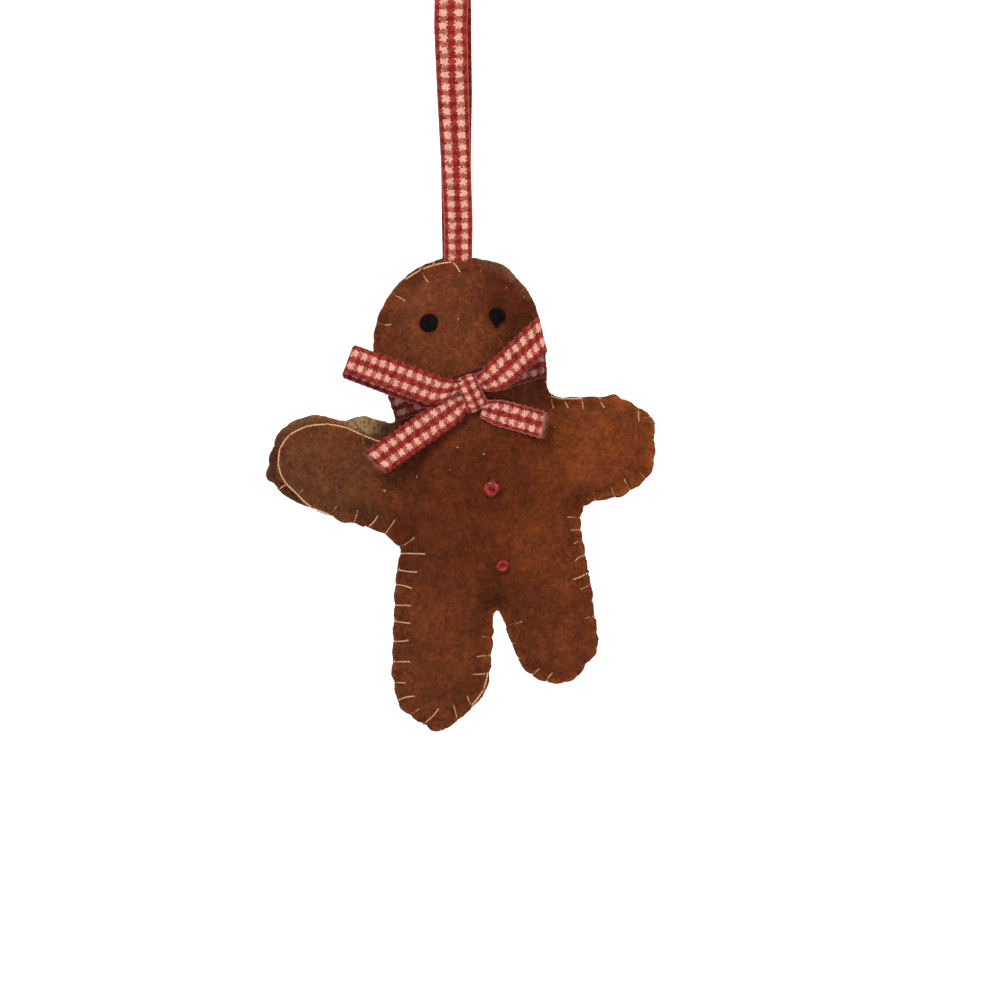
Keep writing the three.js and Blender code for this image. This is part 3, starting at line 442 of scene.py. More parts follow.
class Finish:
    """A material in the making, with one Principled surface."""

    def __init__(self, name, **constants):
        self.material = bpy.data.materials.new(name)
        self.material.use_nodes = True
        self.tree = self.material.node_tree
        self.surface = self.tree.nodes["Principled BSDF"]
        self.drive(**constants)

    def node(self, kind, settings=None, inputs=None, output=0):
        """A node of a type, with its settings and then its sockets' values or links."""
        new = self.tree.nodes.new(kind)
        for key, value in (settings or {}).items():
            setattr(new, key, value)
        for key, value in (inputs or {}).items():
            if isinstance(value, Wire):
                self.tree.links.new(value.socket, new.inputs[key])
            else:
                new.inputs[key].default_value = value
        return Wire(self, new.outputs[output])

    def maths(self, operation, *values):
        return self.node("ShaderNodeMath", {"operation": operation}, dict(enumerate(values)))

    def vector_maths(self, operation, inputs):
        return self.node("ShaderNodeVectorMath", {"operation": operation}, inputs)

    def drive(self, **sockets):
        """Sets or links sockets of the surface, whose names have underscores here."""
        for name, value in sockets.items():
            socket = self.surface.inputs[name.replace("_", " ")]
            if isinstance(value, Wire):
                self.tree.links.new(value.socket, socket)
            else:
                socket.default_value = value
        return self

    def object_place(self):
        """Object coordinates in millimetres."""
        place = self.node("ShaderNodeTexCoord", output="Object")
        return self.vector_maths("SCALE", {0: place, "Scale": 1 / MM})

    def stretched(self, place, sizes, turn=(0, 0, 0)):
        return self.node("ShaderNodeMapping", None, {"Vector": place, "Scale": sizes, "Rotation": turn})

    def shifted(self, place, amount, by):
        """A place pushed about by a colour, by up to an amount."""
        centred = self.vector_maths("SUBTRACT", {0: by, 1: (0.5,) * 3})
        return self.vector_maths("MULTIPLY_ADD", {0: centred, 1: (amount,) * 3, 2: place})

    def nearness(self, place, spot, radius):
        """One at a spot of the figure seen from the front, falling to nothing at a radius."""
        across, _, up = self.parts(place)
        apart = ((across - spot[0]) ** 2 + (up - (spot[1] - LOOP_DROP)) ** 2) ** 0.5
        return (1 - apart / radius).clamp()

    def noise(self, place, scale, detail=2.0, roughness=0.5, output="Fac"):
        inputs = {"Vector": place, "Scale": scale, "Detail": detail, "Roughness": roughness}
        return self.node("ShaderNodeTexNoise", None, inputs, output)

    def parts(self, vector):
        split = self.node("ShaderNodeSeparateXYZ", None, {"Vector": vector})
        return [Wire(self, socket) for socket in split.socket.node.outputs]

    def mixed(self, factor, a, b):
        """Two colours mixed."""
        return self.node("ShaderNodeMix", {"data_type": "RGBA"}, {0: factor, 6: a, 7: b}, 2)

    def multiplied(self, colour, by):
        """A colour times a value or another colour."""
        kind = {"data_type": "RGBA", "blend_type": "MULTIPLY"}
        return self.node("ShaderNodeMix", kind, {0: 1.0, 6: colour, 7: by}, 2)

    def with_painted_light(self, place, colour, painted_lights):
        """A colour with painted light and shade laid over it round some spots of the figure."""
        tone = shade(colour)
        for spot, radius, change in painted_lights:
            near = (self.nearness(place, spot, radius) * 1.8).clamp()
            tone = self.mixed(near, tone, shade([c * k for c, k in zip(colour, change)]))
        return tone

    def bumped(self, height, strength, distance):
        """Bump of a height pattern, whose full height is a distance in millimetres."""
        inputs = {"Height": height, "Strength": strength, "Distance": distance * MM}
        return self.drive(Normal=self.node("ShaderNodeBump", None, inputs))


def shade(colour, factor=1.0):
    return (*[min(1.0, c * factor) for c in colour], 1.0)


def felt_finish(name, colour, painted_lights, tan=None):
    """Needled felt: short fibres lying every way, in smudges of lighter and darker brown."""
    sheen = {"Sheen_Weight": 0.02, "Sheen_Roughness": 0.5}
    finish = Finish(name, Roughness=0.95, Specular_IOR_Level=0.03, **sheen)
    place = finish.object_place()
    warp = finish.noise(place, 0.7, 3, 0.6, "Color")
    # The brown carries painted light and shade: paler pools and a darker patch round spots of the figure
    tone = finish.with_painted_light(finish.shifted(place, 4.0, warp), colour, painted_lights)
    patches = finish.noise(place, 0.4, 4, 0.62)
    grain = finish.noise(place, 4.5, 3, 0.75)
    bent = finish.shifted(place, 2.6, warp)
    smudges = finish.noise(bent, 1.3, 3, 0.6)
    fibres = 0
    for turn, scale, weight in ((0.4, 1.7, 1.0), (1.7, 2.1, 0.9), (2.8, 1.4, 1.0)):
        lying = finish.stretched(bent, (2.8, 1.0, 0.4), (0, turn, 0))
        fine = finish.noise(lying, scale, 2.5, 0.6)
        fibres = fibres + (1 - (fine - 0.5).absolute() * 7).clamp() ** 2 * weight
    clouds = finish.noise(place, 0.12, 3)
    # The UV map holds the distance in from the cut: painted light on a paler rim, where light catches
    # the fuzz of the cut edge, and painted shade in darker gathers inside it
    inward = finish.parts(finish.node("ShaderNodeTexCoord", output="UV"))[0]
    painted_rim_light = (1 - inward * 1.1).clamp() * (smudges * 4 - 1.2).clamp()
    painted_gather_shade = (inward - 0.7).clamp() * (1.9 - inward * 0.6).clamp() * (patches * 5 - 2.1).clamp()
    paler = (clouds - 0.5) * 2.4 + (smudges - 0.5) * 5.5 + painted_rim_light * 0.9
    darker = (patches - 0.5) * 3.6 + (grain - 0.5) * 3.6 + painted_gather_shade * 0.45
    mottle = (1 + paler - darker).at_least(0.3)
    base = finish.multiplied(tone, mottle)
    hairy = finish.mixed((fibres * 0.3).clamp(), base, finish.multiplied(tone, FIBRE_TINT))
    if tan:
        near = finish.nearness(finish.shifted(place, 1.5, warp), *tan[:2])
        pale = finish.multiplied(shade(tan[2]), (0.42 + fibres * 0.3 + (smudges - 0.5) * 3.5).clamp())
        hairy = finish.mixed((near * 1.7).clamp(), hairy, pale)
    finish.drive(Base_Color=hairy)
    height = fibres * 0.3 + grain * 0.7 + patches * 0.8
    return finish.bumped(height, 1.0, 0.4).material


def hair_finish(name, colour, painted_lights):
    finish = Finish(name, Roughness=0.9, Specular_IOR_Level=0.08)
    place = finish.object_place()
    # The fibres take the same painted light and shade as the felt under them
    tone = finish.multiplied(finish.with_painted_light(place, colour, painted_lights), FIBRE_TINT)
    uneven = finish.noise(place, 1.6, 1) * 2.4 - 0.4
    return finish.drive(Base_Color=finish.multiplied(tone, uneven)).material


def thread_finish(name, colour, roughness=0.75, sheen=0.15, gloss=0.2):
    """Twisted cotton: its tone runs in slow uneven lengths, and fine flecks of painted shade darken it
    for the dips between the fibres.
    """
    finish = Finish(name, Roughness=roughness, Sheen_Weight=sheen, Specular_IOR_Level=gloss)
    place = finish.object_place()
    slow = finish.noise(place, 0.5, 2)
    fine = finish.noise(place, 7.0, 2, 0.7)
    base = finish.mixed(slow, shade(colour, 0.72), shade(colour, 1.15))
    finish.drive(Base_Color=finish.mixed(((fine - 0.45) * 2.2).clamp(), base, shade(colour, 0.5)))
    return finish.bumped(fine, 0.7, 0.12).material


def glass_finish(name, colour):
    """Red glass, unevenly pressed: random swirls of painted depth and painted highlight, deep dark red
    for the middle of the glass and bright red for where its skin catches light.
    """
    finish = Finish(name, Roughness=0.3, Coat_Weight=0.15, Coat_Roughness=0.08, Specular_IOR_Level=0.25)
    place = finish.object_place()
    painted_glint_swirl = ((finish.noise(place, 1.1, 3) - 0.4) * 4).clamp()
    finish.drive(Base_Color=finish.mixed(painted_glint_swirl, shade(colour, 0.3), shade(colour, 1.5)))
    return finish.bumped(finish.noise(place, 1.5, 1), 0.6, 0.3).material


def gingham_finish(name, red, light, thread):
    """Woven gingham on the ribbon's own UV map, in millimetres: two light stripes run along it, and
    light bars cross it. Where only one of them is light, its threads come up between red ones."""
    finish = Finish(name, Roughness=0.8, Sheen_Weight=0.03, Specular_IOR_Level=0.08)
    across, along, _ = finish.parts(finish.node("ShaderNodeTexCoord", output="UV"))
    place = finish.object_place()
    drift = (finish.noise(place, 1.6, 2) - 0.5) * 0.5
    stripe_at = (across + drift) / thread
    bar_at = (along + drift) / thread
    stripe_thread = stripe_at.floor()
    bar_thread = bar_at.floor()
    ragged_side = (bar_thread * 0.618 % 1.0 - 0.5) * 0.3
    ragged_end = (stripe_thread * 0.618 % 1.0 - 0.5) * 0.3
    stripe_middle = ((stripe_thread + 0.5) * thread).absolute() - STRIPE_PLACE + ragged_side
    in_stripe = stripe_middle.absolute() < STRIPE_WIDTH / 2
    in_bar = (((bar_thread + 0.5) * thread + ragged_end) % BAR_PITCH) < BAR_WIDTH
    over = (stripe_thread + bar_thread) % 2 < 0.5
    stripe_only = in_stripe * (1 - in_bar) * (0.08 + over * 0.36)
    bar_only = (1 - in_stripe) * in_bar * (1 - over) * 0.16
    light_share = in_stripe * in_bar + stripe_only + bar_only
    round_stripe = 1 - (stripe_at % 1.0 - 0.5) ** 2 * 4
    round_bar = 1 - (bar_at % 1.0 - 0.5) ** 2 * 4
    relief = over * round_stripe + (1 - over) * round_bar
    fuzz = finish.noise(place, 5.0, 3, 0.7)
    slow = finish.noise(place, 0.8, 2)
    worn = ((fuzz + slow - 0.7) * 1.6).clamp()
    deep = finish.mixed(worn, shade(red, 0.5), shade(red, 1.35))
    pale = finish.mixed(worn, shade(light, 0.75), shade(light, 1.12))
    woven = finish.mixed(light_share.clamp(), deep, pale)
    # Painted shade: the colour darkens towards deep red at the edges of each thread, where the threads
    # dip between one another
    finish.drive(Base_Color=finish.mixed((1 - relief).clamp() * 0.3, woven, shade(red, 0.5)))
    return finish.bumped(relief + fuzz * 0.4, 0.9, 0.1).material


def filling_finish(name, colour):
    finish = Finish(name, Roughness=0.95, Sheen_Weight=0.3)
    place = finish.object_place()
    warp = finish.noise(place, 0.6, 2, 0.6, "Color")
    strands = finish.noise(finish.stretched(finish.shifted(place, 3, warp), (3, 1, 0.5)), 1.4, 3, 0.6)
    finish.drive(Base_Color=finish.mixed(strands, shade(colour, 0.72), shade(colour, 1.04)))
    return finish.bumped(strands, 0.8, 0.4).material


def paper_finish(name, colour):
    finish = Finish(name, Roughness=0.9, Specular_IOR_Level=0.1)
    grain = finish.noise(finish.object_place(), 0.02, 2)
    return finish.drive(Base_Color=finish.mixed(grain, shade(colour, 0.985), shade(colour))).material


# Meshes


def new_piece(name, bm, *materials):
    """A smooth mesh object at the origin from a bmesh, which is used up."""
    mesh = bpy.data.meshes.new(name)
    bm.to_mesh(mesh)
    bm.free()
    piece = bpy.data.objects.new(name, mesh)
    bpy.context.scene.collection.objects.link(piece)
    for material in materials:
        mesh.materials.append(material)
    mesh.polygons.foreach_set("use_smooth", [True] * len(mesh.polygons))
    return piece


def flats_of(bm):
    return np.array([vert.co[:2] for vert in bm.verts])


def place_verts(bm, points):
    for vert, point in zip(bm.verts, points):
        vert.co = point


def baked(piece):
    """A piece's modifiers worked into its mesh."""
    depsgraph = bpy.context.evaluated_depsgraph_get()
    finished = bpy.data.meshes.new_from_object(piece.evaluated_get(depsgraph))
    piece.modifiers.clear()
    piece.data = finished
    return piece


def thread_section(radius, plies):
    """Outline of a thread cut across: round, or with a waist between two plies."""
    curve = bpy.data.curves.new("thread_section", "CURVE")
    spline = curve.splines.new("POLY")
    corners = 8 if plies > 1 else 6
    spline.points.add(corners - 1)
    for i, point in enumerate(spline.points):
        angle = 2 * math.pi * i / corners
        reach = radius * (0.76 + 0.3 * math.cos(2 * angle)) if plies > 1 else radius
        point.co = (reach * math.cos(angle), reach * math.sin(angle), 0, 1)
    spline.use_cyclic_u = True
    return bpy.data.objects.new("thread_section", curve)


def add_threads(bm, paths, radius, plies=1, twist=1.4, hair=False, material=0):
    """Threads along paths of points in metres, laid into a bmesh. Two plies turn once in a twist,
    and a hair is a bare strand that tapers. Radius and twist are in millimetres."""
    curve = bpy.data.curves.new("threads", "CURVE")
    curve.dimensions = "3D"
    curve.use_fill_caps = not hair
    section = None
    if hair:
        curve.bevel_depth = radius * MM
        curve.bevel_resolution = 0
    else:
        section = thread_section(radius * MM, plies)
        curve.bevel_mode = "OBJECT"
        curve.bevel_object = section
    for path in paths:
        path = np.asarray(path, float)
        spline = curve.splines.new("POLY")
        spline.points.add(len(path) - 1)
        spline.points.foreach_set("co", np.column_stack([path, np.ones(len(path))]).ravel())
        gone = lengths_along(path)
        if plies > 1:
            spline.points.foreach_set("tilt", gone / (twist * MM) * 2 * math.pi)
        if hair:
            spline.points.foreach_set("radius", 1 - 0.75 * gone / gone[-1])
    tubes = bpy.data.objects.new("threads", curve)
    bpy.context.scene.collection.objects.link(tubes)
    depsgraph = bpy.context.evaluated_depsgraph_get()
    mesh = bpy.data.meshes.new_from_object(tubes.evaluated_get(depsgraph))
    mesh.polygons.foreach_set("material_index", [material] * len(mesh.polygons))
    bm.from_mesh(mesh)
    bpy.data.objects.remove(tubes)
    bpy.data.curves.remove(curve)
    bpy.data.meshes.remove(mesh)
    if section:
        data = section.data
        bpy.data.objects.remove(section)
        bpy.data.curves.remove(data)


def spin_round(bm, profile, steps, closed=False):
    """A round body from a profile of distance and height pairs in millimetres."""
    verts = [bm.verts.new(Vector((x, 0, z)) * MM) for x, z in profile]
    pairs = list(zip(verts, verts[1:])) + ([(verts[-1], verts[0])] if closed else [])
    geom = verts + [bm.edges.new(pair) for pair in pairs]
    turn = {"cent": (0, 0, 0), "axis": (0, 0, 1), "angle": 2 * math.pi}
    bmesh.ops.spin(bm, geom=geom, steps=steps, use_merge=True, **turn)
    bmesh.ops.remove_doubles(bm, verts=bm.verts, dist=0.005 * MM)
    bmesh.ops.recalc_face_normals(bm, faces=bm.faces)


# Settings


def length_property(name, description, millimetres):
    return FloatProperty(name=name, description=description, default=millimetres * MM, unit="LENGTH")


def colour_property(name, description, colour):
    limits = {"min": 0, "max": 1, "subtype": "COLOR"}
    return FloatVectorProperty(name=name, description=description, default=colour, **limits)


class OrnamentSizes(PropertyGroup):
    felt_thickness: length_property("Felt thickness", "Thickness of both felt panels", 1.2)
    stitch_pitch: length_property("Stitch pitch", "Distance between blanket stitches", 3.5)
    stitch_length: length_property("Stitch length", "Length of a plain stitch on the felt", 2.2)
    thread_width: length_property("Thread width", "Thickness of the stitching thread", 0.37)
    ribbon_width: length_property("Ribbon width", "Width of the gingham ribbon", 5.7)
    weave_pitch: length_property("Weave pitch", "Distance between the ribbon's threads", 0.25)
    eye_radius: length_property("Eye radius", "Radius of a sewn eye", 1.7)
    bead_radius: length_property("Bead radius", "Radius of a glass bead", 1.4)
    fuzz_length: length_property("Fuzz length", "Longest fibre that stands off the felt", 2.2)
    fuzz_count: IntProperty(name="Fuzz count", description="Fibres over each panel", default=8000, min=0)


class OrnamentColours(PropertyGroup):
    felt: colour_property("Felt", "Main brown of the felt", (0.096, 0.0193, 0.0043))
    back_felt: colour_property("Back felt", "Brown of the back panel", (0.085, 0.024, 0.0085))
    worn_tan: colour_property("Worn tan", "Pale patch on the back panel's edge", (0.62, 0.40, 0.17))
    stitching: colour_property("Stitching", "Cream stitching thread", (0.78, 0.43, 0.235))
    eyes: colour_property("Eyes", "Black eye thread", (0.006, 0.0035, 0.003))
    beads: colour_property("Beads", "Red glass and its thread", (0.24, 0.01, 0.008))
    ribbon_red: colour_property("Ribbon red", "Red threads of the gingham", (0.235, 0.007, 0.006))
    ribbon_light: colour_property("Ribbon light", "Light threads of the gingham", (0.74, 0.385, 0.29))
    filling: colour_property("Filling", "White fibre filling", (0.82, 0.79, 0.73))
    studio: colour_property("Studio", "Floor and surround", (0.93, 0.93, 0.93))


def settings(context):
    return context.scene.ornament_sizes, context.scene.ornament_colours


# Felt


def lay_out_stitches(sizes):
    """Each stitch's place on the edge, its tip, and how far it stands out of the felt: the ones
    that show, and sunken ones at the pitch between them."""
    rng = np.random.default_rng(5)
    sunken = 0.12
    pitch, length = sizes.stitch_pitch / MM, sizes.stitch_length / MM
    trail = walk_round(cut_line, 0.0)
    lengths = lengths_along(np.vstack([trail, trail[:1]]))
    seen = np.array(SEEN_STITCHES)
    stops = [lengths[np.argmin(((trail - place) ** 2).sum(1))] for place in seen[:, :2]]
    order = np.argsort(stops)
    stitches = []
    for k, i in enumerate(order):
        here = stops[i]
        there = stops[order[(k + 1) % len(order)]] + (lengths[-1] if k == len(order) - 1 else 0)
        stitches.append((settle(cut_line, seen[i : i + 1, :2], 0.0)[0], seen[i, 2:4], seen[i, 4]))
        count = round((there - here) / pitch)
        for j in range(1, count):
            at = (here + (there - here) * (j + rng.uniform(-0.12, 0.12)) / count) % lengths[-1]
            edge = trail[np.argmin(np.abs(lengths[:-1] - at))]
            inward = -slope_of(cut_line, edge)[0]
            leg = heading(math.atan2(inward[1], inward[0]) + rng.normal(0, 0.2))
            stitches.append((edge, edge + leg * length * rng.uniform(0.5, 1.0), sunken))
    return stitches


def sewn_line(side):
    """The cut edge of a panel with each stitch's small pull on it."""
    edges = np.array([stitch[0] for stitch in made["stitches"]])
    shows = np.array([stitch[2] for stitch in made["stitches"]])
    head_end, width = -27, 0.85
    pulls = np.where(edges[:, 1] > head_end, 0.07, 0.12 + 0.14 * shows)

    def field(places):
        places = np.atleast_2d(places)
        apart = ((places[:, None] - edges[None]) ** 2).sum(2)
        return cut_line(places, side) + (pulls * np.exp(-apart / width**2)).sum(1)

    return field


def sewn_relief(places, side):
    """Depth that the stitches, beads, eyes and creases press into the felt."""
    sunk = np.zeros(len(places))
    for edge, tip, shows in made["stitches"]:
        near = np.abs(places - edge).max(1) < 7
        distance, _ = segment_distance(places[near], edge, tip)
        groove = 0.26 * np.exp(-((distance / 0.4) ** 2)) + 0.24 * np.exp(-((distance / 1.25) ** 2))
        groove = (0.3 + 0.7 * shows) * (groove + 0.25 * bell(places[near], tip, 0.55))
        sunk[near] = np.maximum(sunk[near], groove)
    if side < 0:
        sunk += 0.55 * bell(places, UPPER_BEAD, 1.6) + 0.95 * bell(places, LOWER_BEAD, 1.9)
        sunk += 0.3 * (bell(places, LEFT_EYE, 2.4) + bell(places, RIGHT_EYE, 2.4))
        for start, end, depth, width in CREASES:
            distance, share = segment_distance(places, start, end)
            sunk += depth * np.exp(-((distance / width) ** 2)) * (0.4 + 0.6 * np.sin(share * math.pi))
    return sunk


def gentle_lumps(places):
    """Slow unevenness of the filling under the felt."""
    x, z = places.T
    lumps = np.sin(x * 0.31 + 1.3 * np.sin(z * 0.17)) * np.sin(z * 0.27 + 0.9 * np.sin(x * 0.23))
    small = np.sin(x * 0.8 + z * 0.5) * np.sin(z * 0.7 - x * 0.3)
    return 0.24 * lumps + 0.11 * small


def felt_noise(places):
    """Fine unevenness of the felt itself."""
    x, z = places.T
    waves = np.sin(x * 2.1 + 1.7 * np.sin(z * 1.3)) * np.sin(z * 1.9 + 1.1 * np.sin(x * 1.7))
    return 0.05 * waves + 0.035 * np.sin(x * 3.7 - z * 2.9 + 2 * np.sin(x * 0.9))


def cut_panel(field, pitch):
    """A flat panel of felt cut to its line, as a bmesh in the figure's millimetres."""
    bm = bmesh.new()
    width, height = 82.0, 97.0
    sheet = Matrix.Translation((1.0, -46.8, 0)) @ Matrix.Diagonal((width, height, 1, 1))
    columns, rows = round(width / pitch), round(height / pitch)
    bmesh.ops.create_grid(bm, x_segments=columns, y_segments=rows, size=0.5)
    bmesh.ops.transform(bm, matrix=sheet, verts=bm.verts)
    outside = field(flats_of(bm)) > 0.3 * pitch
    bmesh.ops.delete(bm, geom=[v for v, out in zip(bm.verts, outside) if out], context="VERTS")
    trim_rim(bm, field, pitch)
    return bm


def trim_rim(bm, field, pitch):
    """Brings the border of a flat panel to its line and evens out the faces beside it."""
    rim = [vert for vert in bm.verts if vert.is_boundary]
    for vert, flat in zip(rim, settle(field, [vert.co[:2] for vert in rim], 0.0)):
        vert.co = (*flat, vert.co.z)
    near = field(flats_of(bm)) > -3 * pitch
    inner = [v for v, close in zip(bm.verts, near) if close and not v.is_boundary]
    for _ in range(5):
        bmesh.ops.smooth_vert(bm, verts=inner, factor=0.5, use_axis_x=True, use_axis_y=True)


def felt_panel(name, side, sizes, material):
    """A filled panel, the front on side -1: blown up by a cloth simulation, held by its stitches."""
    field = sewn_line(side)
    middle = INNER_FACE + sizes.felt_thickness / MM / 2
    bm = cut_panel(field, FELT_PITCH)
    flats = flats_of(bm)
    depth = middle + fullness(flats) + gentle_lumps(flats) * np.clip(-field(flats) / 8, 0, 1)
    place_verts(bm, to_frame(raised(flats, side * depth)))
    if side > 0:
        bmesh.ops.reverse_faces(bm, faces=bm.faces)
    panel = new_piece(name, bm, material)
    held = np.flatnonzero(field(flats) > -HELD_MARGIN)
    panel.vertex_groups.new(name="sewn").add([int(i) for i in held], 1.0, "REPLACE")
    inflate(panel, cap=0.8)
    finer = panel.modifiers.new("finer", "SUBSURF")
    finer.levels = finer.render_levels = 2
    baked(panel).vertex_groups.clear()
    press_felt(panel, side, field)
    wall = panel.modifiers.new("felt", "SOLIDIFY")
    wall.thickness = sizes.felt_thickness
    wall.offset = 0
    soft = panel.modifiers.new("cut_edge", "BEVEL")
    soft.width = CUT_BEVEL * MM
    soft.segments = 2
    soft.limit_method = "ANGLE"
    soft.angle_limit = math.radians(50)
    baked(panel)
    panel.data.polygons.foreach_set("use_smooth", [True] * len(panel.data.polygons))
    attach(panel, "figure")
    return panel


def press_felt(panel, side, field):
    """Trims the finer mesh to the sewn edge, presses the stitches and creases into it, and maps the
    distance in from the edge."""
    bm = bmesh.new()
    bm.from_mesh(panel.data)
    turned = Matrix(((1, 0, 0, 0), (0, 0, 1, LOOP_DROP * MM), (0, 1, 0, 0), (0, 0, 0, 1)))
    bmesh.ops.transform(bm, matrix=Matrix.Scale(1 / MM, 4) @ turned, verts=bm.verts)
    trim_rim(bm, field, FELT_PITCH / 4)
    flats = flats_of(bm)
    height = side * np.array([vert.co.z for vert in bm.verts])
    level = field(flats)
    height -= sewn_relief(flats, side) * np.clip(-level / 0.5, 0.3, 1)
    height -= 0.18 * np.clip(1 + level / 1.1, 0, 1) ** 2 + 0.16 * np.exp(-(((level + 2.2) / 0.8) ** 2))
    height += felt_noise(flats)
    place_verts(bm, to_frame(raised(flats, side * height)))
    bm.to_mesh(panel.data)
    bm.free()
    corners = np.empty(len(panel.data.loops), int)
    panel.data.loops.foreach_get("vertex_index", corners)
    inward = np.column_stack([-level[corners], np.zeros(len(corners))])
    panel.data.uv_layers.new(name="inward").data.foreach_set("uv", inward.ravel())


def inflate(panel, cap):
    """Cloth simulation with air pressure behind the felt; no point moves further than a cap."""
    frames = 20
    scene = bpy.context.scene
    rest = np.array([vert.co for vert in panel.data.vertices])
    cloth = panel.modifiers.new("air", "CLOTH")
    felt = cloth.settings
    felt.vertex_group_mass = "sewn"
    felt.pin_stiffness = 1.0
    felt.mass = 0.3
    felt.tension_stiffness = felt.compression_stiffness = 25
    felt.bending_stiffness = 1.5
    felt.use_pressure = True
    felt.uniform_pressure_force = 4.0
    felt.effector_weights.gravity = 0
    cloth.point_cache.frame_start, cloth.point_cache.frame_end = 1, frames
    for step in range(1, frames + 1):
        scene.frame_set(step)
    baked(panel)
    scene.frame_set(1)
    moved = np.array([vert.co for vert in panel.data.vertices]) - rest
    reach = np.linalg.norm(moved, axis=1)
    share = np.minimum(1, cap * MM / np.maximum(reach, 1e-9))
    panel.data.vertices.foreach_set("co", (rest + moved * share[:, None]).ravel())


def surface_of(piece):
    bm = bmesh.new()
    bm.from_mesh(piece.data)
    tree = BVHTree.FromBMesh(bm)
    bm.free()
    return tree


def felt_depth(places, side=-1):
    """Depth of the first felt met at places from the front or the back of the finished panels."""
    order = ("front", "back") if side < 0 else ("back", "front")
    depths = []
    for x, z in np.atleast_2d(places):
        start = Vector((x * MM, side * 0.05, (z - LOOP_DROP) * MM))
        found = None
        for name in order:
            found = found or made[name].ray_cast(start, Vector((0, -side, 0)))[0]
        depths.append(found.y / MM if found else 0.0)
    return np.array(depths)


class ORNAMENT_OT_felt_panels(Operator):
    """Cuts, fills and holds down the two felt panels"""

    bl_idname = "ornament.felt_panels"
    bl_label = "Felt Panels"

    def execute(self, context):
        sizes, colours = settings(context)
        made["grid"] = solve_film()
        made["stitches"] = lay_out_stitches(sizes)
        tan = ((-18.6, -31.6), 4.2, colours.worn_tan)
        # Both browns carry painted light and shade round spots of the figure
        front = felt_finish("front_felt", colours.felt, FRONT_PAINTED_LIGHT)
        behind = felt_finish("back_felt", colours.back_felt, BACK_PAINTED_LIGHT, tan)
        panels = ("front", -1, front, "brown_felt"), ("back", 1, behind, "brown_felt_back")
        for name, side, material, slot in panels:
            panel = felt_panel(name + "_felt_panel", side, sizes, material)
            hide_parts(name + "_felt")
            made[name] = surface_of(panel)
        return {"FINISHED"}


class ORNAMENT_OT_fuzz(Operator):
    """Raises the loose fibres of the felt and drops a little lint on it"""

    bl_idname = "ornament.fuzz"
    bl_label = "Felt Fuzz"

    def execute(self, context):
        sizes, colours = settings(context)
        # The fibres carry the same painted light and shade as the felt
        front = hair_finish("front_fibre", colours.felt, FRONT_PAINTED_LIGHT)
        behind = hair_finish("back_fibre", colours.back_felt, BACK_PAINTED_LIGHT)
        white = thread_finish("white_lint", colours.filling)
        sides = ("front", -1, "brown_felt", front), ("back", 1, "brown_felt_back", behind)
        for name, side, slot, hair in sides:
            rng = np.random.default_rng(12 + side)
            bm = bmesh.new()
            paths = self.lying_fibres(side, sizes, rng) + self.rim_fibres(side, sizes, rng)
            add_threads(bm, [to_frame(path) for path in paths], FELT_HAIR, hair=True)
            if side < 0:
                add_threads(bm, self.lint(rng), LINT_HAIR, hair=True, material=1)
            fuzz = new_piece(name + "_felt_fuzz", bm, hair, white)
            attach(fuzz, "figure")
        return {"FINISHED"}

    def lying_fibres(self, side, sizes, rng):
        """Curled fibres that lie over the felt and lift a little off it."""
        field = sewn_line(side)
        roots = rng.uniform((-39, -95), (41, 0.6), (sizes.fuzz_count * 3, 2))
        roots = roots[field(roots) < -0.05][: sizes.fuzz_count]
        half = sizes.fuzz_length / MM * rng.uniform(0.25, 1, (len(roots), 1)) ** 1.4 / 2
        turns = rng.uniform(0, 2 * math.pi, len(roots))
        curls = turns + rng.normal(0, 0.9, len(roots))
        middles = roots + headings(turns) * half
        tips = middles + headings(curls) * half
        stops = roots, middles, tips
        at_root, at_middle, at_tip = (felt_depth(places, side) * side for places in stops)
        rise = rng.uniform(0.03, 0.26, len(roots))
        lift = rise * rng.uniform(-0.5, 1.2, len(roots))
        over_felt = (at_tip > 0.1) & (np.abs(at_tip - at_root) < 1.5)
        depths = side * np.stack([at_root - 0.1, at_middle + rise, at_tip + lift], 1)
        flats = np.stack(stops, 1)
        strands = np.stack([flats[:, :, 0], depths, flats[:, :, 1]], 2)
        return list(strands[over_felt])

    def rim_fibres(self, side, sizes, rng):
        """Short fibres that stand out of the cut edge."""
        field = sewn_line(side)
        roots = spaced(walk_round(lambda places: cut_line(places, side), -0.2), 0.14)
        roots = roots + rng.normal(0, 0.14, roots.shape)
        roots = roots[field(roots) < -0.02]
        outward = slope_of(lambda places: cut_line(places, side), roots)
        depths = felt_depth(roots, side) - side * rng.uniform(0.05, 0.8, len(roots))
        paths = []
        for root, out, depth in zip(roots, outward, depths):
            half = sizes.fuzz_length / MM * rng.uniform(0.07, 0.32)
            turn = math.atan2(out[1], out[0]) + rng.normal(0, 0.7)
            middle = root + heading(turn) * half
            tip = middle + heading(turn + rng.normal(0, 0.9)) * half
            rise = side * rng.normal(0, 0.12)
            stops = enumerate((root, middle, tip))
            paths.append([lifted(flat, depth + k * rise) for k, flat in stops])
        return paths

    def lint(self, rng):
        points = 6
        paths = []
        for place in LINT:
            flats = np.array(place) + rng.normal(0, 0.11, (points, 2))
            depths = felt_depth(flats) - rng.uniform(0.08, 0.2, points)
            paths.append(to_frame(raised(flats, depths)))
        return paths


